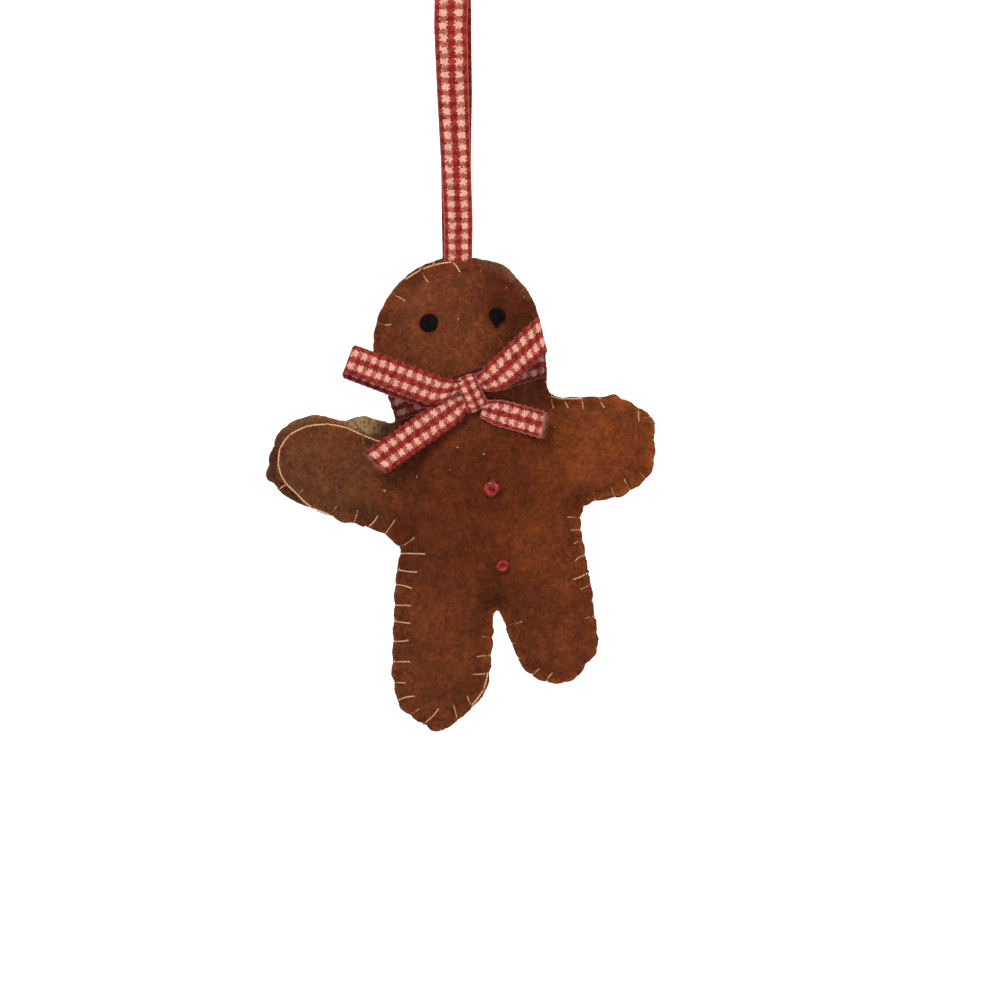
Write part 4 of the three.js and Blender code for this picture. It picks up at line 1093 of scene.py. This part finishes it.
class ORNAMENT_OT_filling(Operator):
    """Teases out the six wads of white fibre inside the felt"""

    bl_idname = "ornament.filling"
    bl_label = "Filling"

    def execute(self, context):
        _, colours = settings(context)
        material = filling_finish("white_fibre", colours.filling)
        wads = [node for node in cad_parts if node.startswith("filling_")]
        if len(wads) != 6:
            raise RuntimeError("the model should hold six wads of filling")
        axes = {"use_axis_x": True, "use_axis_y": True, "use_axis_z": True}
        for node in wads:
            bm = bmesh.new()
            bm.from_mesh(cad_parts[node].data)
            bmesh.ops.remove_doubles(bm, verts=bm.verts, dist=0.001 * MM)
            bmesh.ops.subdivide_edges(bm, edges=bm.edges, cuts=2, use_grid_fill=True)
            bmesh.ops.smooth_vert(bm, verts=bm.verts, factor=0.4, **axes)
            bmesh.ops.recalc_face_normals(bm, faces=bm.faces)
            bm.normal_update()
            for vert in bm.verts:
                x, y, z = vert.co / MM
                tuft = math.sin(x * 1.7 + 2 * math.sin(z * 0.9))
                tuft *= math.sin(z * 1.9 + math.sin(y * 1.5 + x))
                vert.co += vert.normal * (tuft * 0.12 - 0.2) * MM
            wad = new_piece(node.replace("filling", "fibre"), bm, material)
            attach(wad, "figure")
            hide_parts(node)
        return {"FINISHED"}


# Stitching


class ORNAMENT_OT_stitching(Operator):
    """Sews the blanket stitch round the edge with two-ply cream thread"""

    bl_idname = "ornament.stitching"
    bl_label = "Blanket Stitching"

    def execute(self, context):
        sizes, colours = settings(context)
        radius = sizes.thread_width / MM / 2
        rng = np.random.default_rng(21)
        paths = []
        for edge, tip, shows in made["stitches"]:
            lift = radius * (1.75 * shows - 1.2 + rng.uniform(-0.1, 0.1))
            paths += self.stitch(edge, tip, radius, lift, rng.normal(0, 0.05))
        paths += self.edge_line()
        threads = [to_frame(spaced(smoothed(path), 0.28)) for path in paths]
        bm = bmesh.new()
        add_threads(bm, threads, radius, plies=2, twist=1.5)
        piece = new_piece("blanket_stitching", bm, thread_finish("cream_thread", colours.stitching))
        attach(piece, "figure")
        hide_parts("blanket_stitch_thread")
        return {"FINISHED"}

    def leg(self, start, end, side, lift, bow=0.0):
        """Points over the felt from just inside a start on the edge to the hole at the end. A bow
        is the leg's sideways bend as a share of its length."""
        shares = np.linspace(0.1, 1, 7)[:, None]
        aside = np.array([start[1] - end[1], end[0] - start[0]]) * bow
        flats = start + (end - start) * shares + aside * np.sin(shares * math.pi)
        depths = felt_depth(flats, side) + side * (lift - 0.1 * (1 - shares[:, 0]))
        points = [lifted(flat, depth) for flat, depth in zip(flats, depths)]
        return points + [lifted(flats[-1] + (end - start) * 0.08, depths[-1] - side * 0.9)]

    def stitch(self, edge, tip, radius, lift, bow):
        """One stitch: from its hole in the front over the edge to its hole in the back."""
        out = slope_of(cut_line, edge)[0]
        beyond = max(0.0, -sewn_line(1)(edge)[0])
        path = self.leg(edge, tip, -1, lift, bow)[::-1] + [lifted(edge - out * radius * 0.4, -0.8)]
        over_ribbon_ends = abs(edge[0] - SEWN_MIDDLE) < SEWN_REACH and edge[1] > -SEWN_DEPTH
        if over_ribbon_ends or (tip - edge) @ out > 0:
            return [path + [lifted(edge, 0.1), lifted(edge, 0.6)]]
        back_edge = edge + out * (beyond - radius * 0.4)
        back_tip = edge - out * max(np.hypot(*(tip - edge)) - 0.4, 1.2)
        if beyond > 0.75:
            behind = [lifted(edge + out * beyond, 0.5), lifted(back_edge, 0.8)]
            front = path + [lifted(edge, 0.1), lifted(edge, 0.6)]
            return [front, behind + self.leg(back_edge, edge + out * (beyond - 2.2), 1, lift)]
        over = [lifted(back_edge, 0.1), lifted(back_edge, 0.8)]
        return [path + over + self.leg(back_edge, back_tip, 1, lift)]

    def edge_line(self):
        """The thread that runs along the edge from stitch to stitch, in the seam or over its front."""
        paths = []
        edges = [stitch[0] for stitch in made["stitches"]]
        field = sewn_line(-1)
        shares = np.linspace(0, 1, 7)[:, None]
        for here, there in zip(edges, edges[1:] + edges[:1]):
            x, z = (here + there) / 2
            flats = here * (1 - shares) + there * shares
            if any(x0 < x < x1 and z0 < z < z1 for x0, z0, x1, z1 in SHOWN_EDGES):
                curved = felt_depth(settle(field, flats, -0.45))
                flats = flats * 0.7 + settle(field, flats, -0.25) * 0.3
                depths = np.minimum(curved, felt_depth(flats)) + (0.2, 0, 0, -0.05, 0, 0, 0.2)
            else:
                flats = settle(field, flats, -0.12)
                depths = np.array([-0.6, -0.25, 0, 0, 0, -0.25, -0.6])
            paths.append(raised(flats, depths))
        return paths


# Eyes and beads


def seat(place, radius):
    """Where a round thing sits on the front: its foot's place and the way out of the felt."""
    around = np.array([np.add(place, radius * heading(2 * math.pi * i / 12)) for i in range(12)])
    rim = to_frame(raised(around, felt_depth(around)))
    centre = rim.mean(0)
    normal = np.cross(rim - centre, np.roll(rim, -1, 0) - centre).sum(0)
    turn = Vector((0, 0, 1)).rotation_difference(Vector(normal).normalized()).to_matrix().to_4x4()
    return Matrix.Translation(Vector(centre)) @ turn


class ORNAMENT_OT_eyes(Operator):
    """Winds the two eyes from black thread"""

    bl_idname = "ornament.eyes"
    bl_label = "Eyes"
    height = 0.7

    def execute(self, context):
        sizes, colours = settings(context)
        material = thread_finish("black_thread", colours.eyes, roughness=0.95, sheen=0.0, gloss=0.05)
        for name, place, share in (("left_eye", LEFT_EYE, 1.0), ("right_eye", RIGHT_EYE, 0.92)):
            radius = sizes.eye_radius / MM * share
            rng = np.random.default_rng(round(share * 100))
            bm = bmesh.new()
            mound = np.linspace(-0.5, math.pi / 2, 9)
            spin_round(bm, [(radius * 0.92 * math.cos(a), self.height * math.sin(a)) for a in mound], 28)
            paths = self.wound(radius, rng) + (self.drop() if name == "right_eye" else [])
            add_threads(bm, [np.asarray(path) * MM for path in paths], EYE_THREAD)
            bmesh.ops.transform(bm, matrix=seat(place, radius), verts=bm.verts)
            eye = new_piece("sewn_" + name, bm, material)
            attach(eye, "figure")
            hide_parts(name)
        return {"FINISHED"}

    def wound(self, radius, rng):
        """A spiral of thread over the mound, and satin stitches across it."""
        share = np.linspace(0, 1, 150)
        turns = share * 10 * math.pi
        ring = radius * np.cos(share * math.pi / 2) ** 0.8
        climb = self.height * np.sin(share * math.pi / 2) + 0.08
        paths = [np.column_stack([ring * np.cos(turns), ring * np.sin(turns), climb])]
        for _ in range(11):
            lean = rng.uniform(0, math.pi)
            offset = rng.uniform(-0.7, 0.7) * radius
            half = math.sqrt(radius**2 - offset**2)
            run = np.linspace(-half, half, 9)
            lift = self.height * np.sqrt(np.clip(1 - (run**2 + offset**2) / radius**2, 0, 1)) + 0.14
            flats = run[:, None] * heading(lean) + offset * heading(lean + math.pi / 2)
            paths.append(np.column_stack([flats, lift]))
        return paths

    def drop(self):
        """The last stitches of the right eye, which run down to a point."""
        paths = []
        for start in (-1.0, -0.7, -0.35, 0.0, 0.35, 0.7, 1.0):
            top = [(start * 1.1, -0.4, 0.6), (start, -1.0, 0.55), (start * 0.6, -1.6, 0.4)]
            foot = [(start * 0.2 + 0.35, -2.15, 0.2), (start * 0.1 + 0.45, -2.45, -0.4)]
            paths.append(smoothed(top + foot, 2))
        return paths


class ORNAMENT_OT_beads(Operator):
    """Sews on the two red glass beads"""

    bl_idname = "ornament.beads"
    bl_label = "Button Beads"

    def execute(self, context):
        sizes, colours = settings(context)
        glass = glass_finish("red_glass", colours.beads)
        thread = thread_finish("red_thread", colours.beads)
        placed = ("upper", UPPER_BEAD, 1.15, 0.25, 0.1), ("lower", LOWER_BEAD, 0.9, -0.5, 0.45)
        for name, place, share, lean, sink in placed:
            radius = sizes.bead_radius / MM * share
            sunk = Matrix.Translation((0, 0, -sink * MM))
            spot = seat(place, radius) @ Matrix.Rotation(lean, 4, "X") @ sunk
            bead = self.bead(name + "_glass_bead", radius, spot, glass)
            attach(bead, "figure")
            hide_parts(name + "_button_bead")
            turned = spot @ Matrix.Rotation(1.0 + 1.4 * lean, 4, "Z")
            tie = self.tie(name + "_bead_tie", radius, turned, thread)
            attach(tie, "figure")
            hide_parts(name + "_bead_thread")
        return {"FINISHED"}

    def bead(self, name, radius, spot, material):
        """A round bead with a hole: a ring's section spun about its axis."""
        hole = 0.24 * radius
        level, half_height = 0.62, 0.76
        middle, wall = (radius + hole) / 2, (radius - hole) / 2
        bm = bmesh.new()
        angles = np.linspace(0, 2 * math.pi, 20, endpoint=False)
        profile = [(middle + wall * math.cos(a), level + half_height * math.sin(a)) for a in angles]
        spin_round(bm, profile, 40, closed=True)
        bmesh.ops.transform(bm, matrix=spot, verts=bm.verts)
        return new_piece(name, bm, material)

    def tie(self, name, radius, spot, material):
        """The thread through the bead: up its hole, over its rim and into the felt on both sides."""
        rise = ((0.0, -0.6), (0.0, 1.15), (0.5 * radius, 1.5))
        fall = ((radius, 1.0), (radius + 0.15, 0.3), (radius + 0.1, -0.7))
        bm = bmesh.new()
        paths = []
        for way in (-1, 1):
            for aside in (-0.17, 0.17):
                paths.append(smoothed([(way * x * MM, aside * MM, z * MM) for x, z in rise + fall], 2))
        add_threads(bm, paths, BEAD_THREAD, plies=2, twist=0.9)
        bmesh.ops.transform(bm, matrix=spot, verts=bm.verts)
        return new_piece(name, bm, material)


# Ribbon


def add_ribbon(bm, shape, length, pitch=0.5, closed=False, woven=None, phase=0.0):
    """A ribbon laid into a bmesh: shape turns distances along it and shares across it, from -1 to 1,
    into points of the figure. Its UV map holds the weave's millimetres across and along, which
    woven turns distances into where the ribbon shows it stretched."""
    uv = bm.loops.layers.uv.verify()
    bmesh.ops.create_grid(bm, x_segments=max(4, round(length / pitch)), y_segments=10, size=1)
    spots = flats_of(bm)
    along = (spots[:, 0] + 1) / 2 * length
    half = bpy.context.scene.ornament_sizes.ribbon_width / MM / 2
    weave = {}
    gone = woven(along) if woven else along
    for vert, point, a, share in zip(bm.verts, to_frame(shape(along, spots[:, 1])), gone, spots[:, 1]):
        vert.co = point
        weave[vert] = (share * half, a + phase)
    for face in bm.faces:
        for loop in face.loops:
            loop[uv].uv = weave[loop.vert]
    if closed:
        bmesh.ops.remove_doubles(bm, verts=bm.verts, dist=0.02 * MM)


def edge_loops(shape, length, width, reach, pitch=1.25):
    """Small loops of thread along both edges of a ribbon."""
    paths = []
    for side in (-1, 1):
        along = np.arange(0, length, pitch / 6)
        phase = along / pitch * 2 * math.pi
        out = 0.97 + 2 * reach / width * (0.35 - 0.65 * np.cos(phase))
        points = shape(np.clip(along + 0.22 * pitch * np.sin(phase), 0, length), side * out)
        points[:, 1] -= 0.06 * np.sin(phase)
        paths.append(to_frame(points))
    return paths


def frayed_end(shape, length):
    """Warp threads standing out of a ribbon's cut end."""
    rng = np.random.default_rng(round(length * 10))
    threads = 44
    paths = []
    for share in np.linspace(-0.97, 0.97, threads):
        last, end = shape(np.array([length - 0.3, length]), np.array([share, share]))
        way = (end - last) / max(np.linalg.norm(end - last), 1e-6)
        reach = rng.uniform(0.2, 1.0)
        tip = end + way * reach + rng.normal(0, 0.12, 3)
        paths.append(to_frame([last, end + way * reach * 0.5, tip]))
    return paths


class RibbonPiece:
    """What the ribbon operators share: a woven strip with looped edges as a finished piece."""

    def ribbon(self, context, name, shape, length, frayed=False, picot=0.26, finishes=None, **weave):
        sizes, _ = settings(context)
        bm = bmesh.new()
        add_ribbon(bm, shape, length, **weave)
        bmesh.ops.recalc_face_normals(bm, faces=bm.faces)
        bmesh.ops.solidify(bm, geom=bm.faces[:], thickness=RIBBON_THICKNESS * MM)
        bmesh.ops.recalc_face_normals(bm, faces=bm.faces)
        loops = edge_loops(shape, length, sizes.ribbon_width / MM, picot)
        add_threads(bm, loops, RIBBON_EDGE_THREAD, material=1)
        if frayed:
            add_threads(bm, frayed_end(shape, length), FRAYED_HAIR, hair=True, material=1)
        piece = new_piece(name, bm, *(finishes or self.finishes(context)))
        return piece

    def finishes(self, context, name="gingham", painted_shade=1.0):
        """The weave of the ribbon and the thread of its edge, with every colour darkened by a factor:
        painted shade for a ribbon that lies in shade.
        """
        sizes, colours = settings(context)
        if name not in made:
            red = [c * painted_shade for c in colours.ribbon_red]
            light = [c * painted_shade for c in colours.ribbon_light]
            blend = [0.75 * r + 0.25 * l for r, l in zip(red, light)]
            weave = gingham_finish(name, red, light, sizes.weave_pitch / MM)
            made[name] = weave, thread_finish(name + "_edge", blend)
        return made[name]


class ORNAMENT_OT_hanging_ribbon(RibbonPiece, Operator):
    """Hangs the figure on its doubled gingham ribbon"""

    bl_idname = "ornament.hanging_ribbon"
    bl_label = "Hanging Ribbon"

    def execute(self, context):
        sizes, _ = settings(context)
        width = sizes.ribbon_width / MM
        line = self.line()
        lengths = lengths_along(line)
        total = lengths[-1]

        def shape(along, share):
            x, y, z = (np.interp(along, lengths, column) for column in line.T)
            up = np.clip((z - 2) / 68, 0, 1)
            half = width / 2 * (0.98 + 0.2 * np.minimum(up / 0.7, 1))
            twist = 0.09 * np.sin(along / total * 4 * math.pi) * np.sin(up * math.pi)
            cup = 0.12 * share**2 * np.sign(y)
            aside = share * half
            return np.stack([x + aside * np.cos(twist), y + aside * np.sin(twist) + cup, z], 1)

        middles = (line[1:, 2] + line[:-1, 2]) / 2
        stretch = np.interp(middles, (0, 8, 15, 26, 45), (1.08, 1.12, 1.18, 1.25, 1.28))
        gone = np.concatenate([[0], np.cumsum(np.diff(lengths) / stretch)])

        def woven(along):
            return np.interp(along, lengths, gone)

        weave = {"pitch": 0.6, "picot": 0.1, "woven": woven}
        ribbon = self.ribbon(context, "hanging_gingham_ribbon", shape, total, **weave)
        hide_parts("hanging_ribbon", "hanging_ribbon_sewn_ends")
        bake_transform(ribbon)
        return {"FINISHED"}

    def line(self):
        """Middle line of the ribbon: up the front, over the hanging point, down the back."""
        t = np.linspace(0, 1, 60)[:, None]
        foot, top = 2.4, LOOP_DROP + 0.17
        ends = [np.array(p) for p in ((0, -0.2, foot), (0, -0.25, 36.0), (0, -11.0, top), (0, 0, top))]
        front = sum(math.comb(3, k) * t**k * (1 - t) ** (3 - k) * ends[k] for k in range(4))
        behind = front[-2::-1] * (1, -1, 1)
        heights = (0, 8, 34, 46, 58, LOOP_DROP)
        front[:, 0] = np.interp(front[:, 2], heights, (0.45, 0.5, -0.6, -1.0, -0.7, 0))
        behind[:, 0] = np.interp(behind[:, 2], heights, (0.1, 0.0, 0.0, -0.3, -0.5, 0))
        sewn = np.array([(0.45, -0.2, -7.8), (0.45, -0.2, -4.0), (0.45, -0.2, -0.5)])
        return np.vstack([sewn, front, behind, sewn[::-1] * (0.2, -1, 1)])


def neck_place(along, upward):
    flat = np.asarray(NECK_LINE) + np.multiply.outer(along, heading(NECK_ANGLE))
    return flat + np.multiply.outer(upward, heading(NECK_ANGLE + math.pi / 2))


class ORNAMENT_OT_neck_ribbon(RibbonPiece, Operator):
    """Ties the ribbon round the neck, snug on the felt"""

    bl_idname = "ornament.neck_ribbon"
    bl_label = "Neck Ribbon"

    def execute(self, context):
        sizes, _ = settings(context)
        width = sizes.ribbon_width / MM
        angles, radii = self.wrap(width)

        def shape(along, share):
            angle = along / NECK_TURN % 1.0 * 2 * math.pi
            row = np.clip((share + 1) / 2 * (len(radii) - 1), 0, len(radii) - 1)
            low = np.minimum(row.astype(int), len(radii) - 2)
            part = row - low
            ring = np.array([np.interp(angle, angles, r, period=2 * math.pi) for r in radii])
            cell = np.arange(len(along))
            reach = ring[low, cell] * (1 - part) + ring[low + 1, cell] * part
            aside = np.abs(np.cos(angle)) ** 2
            reach = reach + 0.16 * np.sin(share * 9 + 2 * np.sin(angle * 3)) * aside
            upward = share * width / 2 * (1 - 0.12 * aside)
            flat = neck_place(NECK_MIDDLE + reach * np.cos(angle), upward)
            return raised(flat, reach * np.sin(angle))

        # The neck ribbon lies in shade: painted shade darkens all its colours to 0.55
        painted_shade = self.finishes(context, "neck_gingham_painted_shade", 0.55)
        turn = {"finishes": painted_shade, "closed": True}
        ribbon = self.ribbon(context, "neck_gingham_ribbon", shape, NECK_TURN, **turn)
        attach(ribbon, "figure")
        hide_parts("neck_ribbon")
        return {"FINISHED"}

    def wrap(self, width):
        """Reach of the ribbon from the middle of the neck, for angles round it, at rows across it."""
        rows = np.linspace(-1, 1, 9) * width / 2
        along = np.arange(-22, 24, 0.5)
        angles = np.linspace(0, 2 * math.pi, 180, endpoint=False)
        normals = headings(angles)
        half_neck, clearance = 19.5, 0.3
        supports = []
        for row in rows:
            flats = neck_place(along, np.full(len(along), row))
            points = []
            for side in (-1, 1):
                keep = (cut_line(flats, side) < 0) & (np.abs(along - NECK_MIDDLE) < half_neck)
                depths = felt_depth(flats[keep], side)
                points.append(np.stack([along[keep] - NECK_MIDDLE, depths], 1))
            supports.append((np.vstack(points) @ normals.T).max(0) + clearance)
        radii = []
        for i, own in enumerate(supports):
            support = (supports[max(i - 1, 0)] + own * 2 + supports[min(i + 1, len(rows) - 1)]) / 4
            radii.append((support[None] / np.clip(normals @ normals.T, 1e-3, None)).min(1))
        return angles, radii


def bow_points(along, across, out, angle):
    """Points of the bow: along a heading from the knot, across it, and out from the seam plane."""
    flat = np.asarray(KNOT) + np.multiply.outer(along, heading(angle))
    flat = flat + np.multiply.outer(across, heading(angle + math.pi / 2))
    return raised(flat, -np.broadcast_to(out, len(flat)))


class ORNAMENT_OT_bow(RibbonPiece, Operator):
    """Ties the bow: its knot, two loops and two tails"""

    bl_idname = "ornament.bow"
    bl_label = "Bow"

    def execute(self, context):
        knot = self.ribbon(context, "tied_bow_knot", self.knot, KNOT_TURN, phase=0.4)
        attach(knot, "figure")
        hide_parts("bow_knot")
        self.loop(context, "left", 159.5, 2.8, length=22.1, broad=1.0, aside=2.0, slip=1.2, slant=0.0)
        self.loop(context, "right", 43.5, 2.2, length=15.8, broad=1.04, aside=-1.0, slip=0.3, slant=1.6)
        self.tail(context, "left", 215, 1.9, length=21.2, broad=1.03, aside=(0, 0.35), slant=-0.7)
        self.tail(context, "right", -17, 2.9, length=12.3, broad=0.92, aside=(-0.4, -1.9), slant=-0.3)
        return {"FINISHED"}

    def knot(self, along, share):
        """The turn of ribbon over the crossing, with soft pleats along it."""
        half_width, half_length, height = 2.3, 3.8, 2.4
        angle = (along / KNOT_TURN * 1.12 - 0.06) * math.pi
        crown = np.sin(np.clip(angle, 0, math.pi))
        draw = 1 - 0.14 * share**2
        rise = np.sign(np.sin(angle)) * np.abs(np.sin(angle)) ** 0.6 * height * draw
        pleat = 0.16 * np.sin(share * 8 + 0.8) * crown
        out = BOW_LEVEL - 1.25 + rise + pleat
        across = share * half_width * (1 - 0.1 * crown)
        return bow_points(across, -np.cos(angle) * half_length * draw, out, KNOT_ANGLE)

    def gathered(self, context, distance, broad=1.0):
        """Half width of a bow strip, drawn together at the knot, and how far it has opened."""
        opening_length = 4.5
        width = settings(context)[0].ribbon_width / MM * broad
        opening = np.sin(np.clip(distance / opening_length, 0, 1) * math.pi / 2)
        return (GATHERED_WIDTH + (width - GATHERED_WIDTH) * opening) / 2, opening

    def loop(self, context, name, degrees, start, length, broad, aside, slip, slant):
        """A doubled loop whose back layer lies a little to one side of its front layer."""
        angle = math.radians(degrees)
        half = 0.6
        run = length - half
        total = 2 * run + math.pi * half
        down = 1 if degrees > 90 else -1

        def shape(along, share):
            turn = np.clip((along - run) / (math.pi * half), 0, 1) * math.pi
            back = np.where(turn < math.pi, run + half * np.sin(turn), total - along)
            distance = np.where(along < run, along, back)
            layer = np.cos(turn)
            half_width, opening = self.gathered(context, distance, broad)
            belly = half + 0.3 * np.sin(np.clip(distance / length, 0, 1) * math.pi)
            pleat = 0.22 * np.cos(share * 5.5) * (1 - opening)
            out = BOW_LEVEL + layer * belly * np.clip(opening + 0.35, 0, 1) + pleat + 0.1 * share**2
            across = share * half_width + (aside + down * slip * (1 - layer) / 2) * opening
            shear = slant * share * np.clip(distance / length, 0, 1) ** 2
            return bow_points(start + distance + shear, across, out, angle)

        loop = self.ribbon(context, name + "_bow_loop", shape, total, phase=0.2)
        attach(loop, name + "_loop")
        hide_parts("bow_" + name + "_loop")

    def tail(self, context, name, degrees, start, length, broad, aside, slant):
        """A single end of the ribbon, with its cut end frayed."""
        angle = math.radians(degrees)

        def shape(along, share):
            half_width, opening = self.gathered(context, along, broad)
            pleat = 0.2 * np.cos(share * 5.5) * (1 - opening)
            out = BOW_LEVEL - 0.1 + 0.12 * np.sin(along * 0.45) + 0.1 * share**2 + pleat
            part = np.clip(along / length, 0, 1)
            cut = slant * share * part**3 + 0.25 * (1 - share**2) * part**6
            across = share * half_width + aside[0] * (1 - part) ** 2 + aside[1]
            return bow_points(start + along + cut, across, out, angle)

        stretch = 1.03
        weave = {"frayed": True, "woven": lambda along: along / stretch}
        tail = self.ribbon(context, name + "_bow_tail", shape, length, **weave)
        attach(tail, name + "_tail")
        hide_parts("bow_" + name + "_tail")


# Studio


class ORNAMENT_OT_stage(Operator):
    """Sets up the camera, the soft lights and the pale studio bowl"""

    bl_idname = "ornament.stage"
    bl_label = "Studio"

    def execute(self, context):
        _, colours = settings(context)
        scene = context.scene
        distance, seen_width = 0.5, 0.2
        camera = bpy.data.objects.new("camera", bpy.data.cameras.new("camera"))
        camera.location = (0.0088, -distance, -0.1176)
        camera.rotation_euler = (math.pi / 2, 0, 0)
        camera.data.sensor_width = 36
        camera.data.lens = 36 * distance / seen_width
        camera.data.clip_start = 0.01
        scene.collection.objects.link(camera)
        scene.camera = camera
        figure = (0.005, 0, -0.11)
        self.light("window", (-0.16, -0.3, 0.18), figure, 0.14, 1.6, (1.0, 0.98, 0.95))
        self.light("lamp", (0.18, -0.16, -0.09), figure, 0.1, 0.16, (1.0, 0.9, 0.78))
        self.light("sky", (-0.3, 0.5, 0.7), figure, 0.6, 3, (1.0, 1.0, 1.0))
        self.light("backdrop", (0, 0.5, 0.4), (0, 1.3, -0.3), 0.5, 13, (1.0, 1.0, 1.0))
        self.bowl(paper_finish("studio_paper", colours.studio))
        world = bpy.data.worlds.new("studio")
        world.use_nodes = True
        air = world.node_tree.nodes["Background"].inputs
        air["Color"].default_value = (1, 1, 1, 1)
        air["Strength"].default_value = 0.7
        scene.world = world
        scene.view_settings.view_transform = "Standard"
        return {"FINISHED"}

    def light(self, name, place, target, size, power, colour):
        data = bpy.data.lights.new(name, "AREA")
        data.size, data.energy, data.color = size, power, colour
        light = bpy.data.objects.new(name, data)
        light.location = place
        light.visible_camera = False
        aim = Vector(target) - light.location
        light.rotation_euler = aim.to_track_quat("-Z", "Y").to_euler()
        bpy.context.scene.collection.objects.link(light)

    def bowl(self, material):
        """A round floor whose rim curves up into a wall, far behind every camera."""
        floor, radius, bend, wall = -300, 1600, 500, 1200
        profile = [(0.5, floor), (radius - bend, floor)]
        for a in np.linspace(0, math.pi / 2, 10)[1:]:
            profile.append((radius - bend + bend * math.sin(a), floor + bend * (1 - math.cos(a))))
        profile.append((radius, wall))
        bm = bmesh.new()
        spin_round(bm, profile, 64)
        bmesh.ops.reverse_faces(bm, faces=bm.faces)
        new_piece("studio_floor", bm, material)


class ORNAMENT_PT_panel(Panel):
    """Lists the ornament's settings and operators"""

    bl_idname = "ORNAMENT_PT_panel"
    bl_label = "Gingerbread Man Ornament"
    bl_space_type = "VIEW_3D"
    bl_region_type = "UI"
    bl_category = "Ornament"

    def draw(self, context):
        for group in settings(context):
            column = self.layout.column()
            for name in group.__annotations__:
                column.prop(group, name)
        for operator in OPERATORS:
            self.layout.operator(operator.bl_idname)


OPERATORS = (
    ORNAMENT_OT_stage,
    ORNAMENT_OT_felt_panels,
    ORNAMENT_OT_filling,
    ORNAMENT_OT_stitching,
    ORNAMENT_OT_eyes,
    ORNAMENT_OT_beads,
    ORNAMENT_OT_hanging_ribbon,
    ORNAMENT_OT_neck_ribbon,
    ORNAMENT_OT_bow,
    ORNAMENT_OT_fuzz,
)
CLASSES = (OrnamentSizes, OrnamentColours, *OPERATORS, ORNAMENT_PT_panel)


def register():
    for cls in CLASSES:
        bpy.utils.register_class(cls)
    bpy.types.Scene.ornament_sizes = PointerProperty(type=OrnamentSizes)
    bpy.types.Scene.ornament_colours = PointerProperty(type=OrnamentColours)


def unregister():
    del bpy.types.Scene.ornament_colours
    del bpy.types.Scene.ornament_sizes
    for cls in reversed(CLASSES):
        bpy.utils.unregister_class(cls)


def main():
    register()
    for operator in OPERATORS:
        group, name = operator.bl_idname.split(".")
        getattr(getattr(bpy.ops, group), name)()


if __name__ == "__main__":
    main()
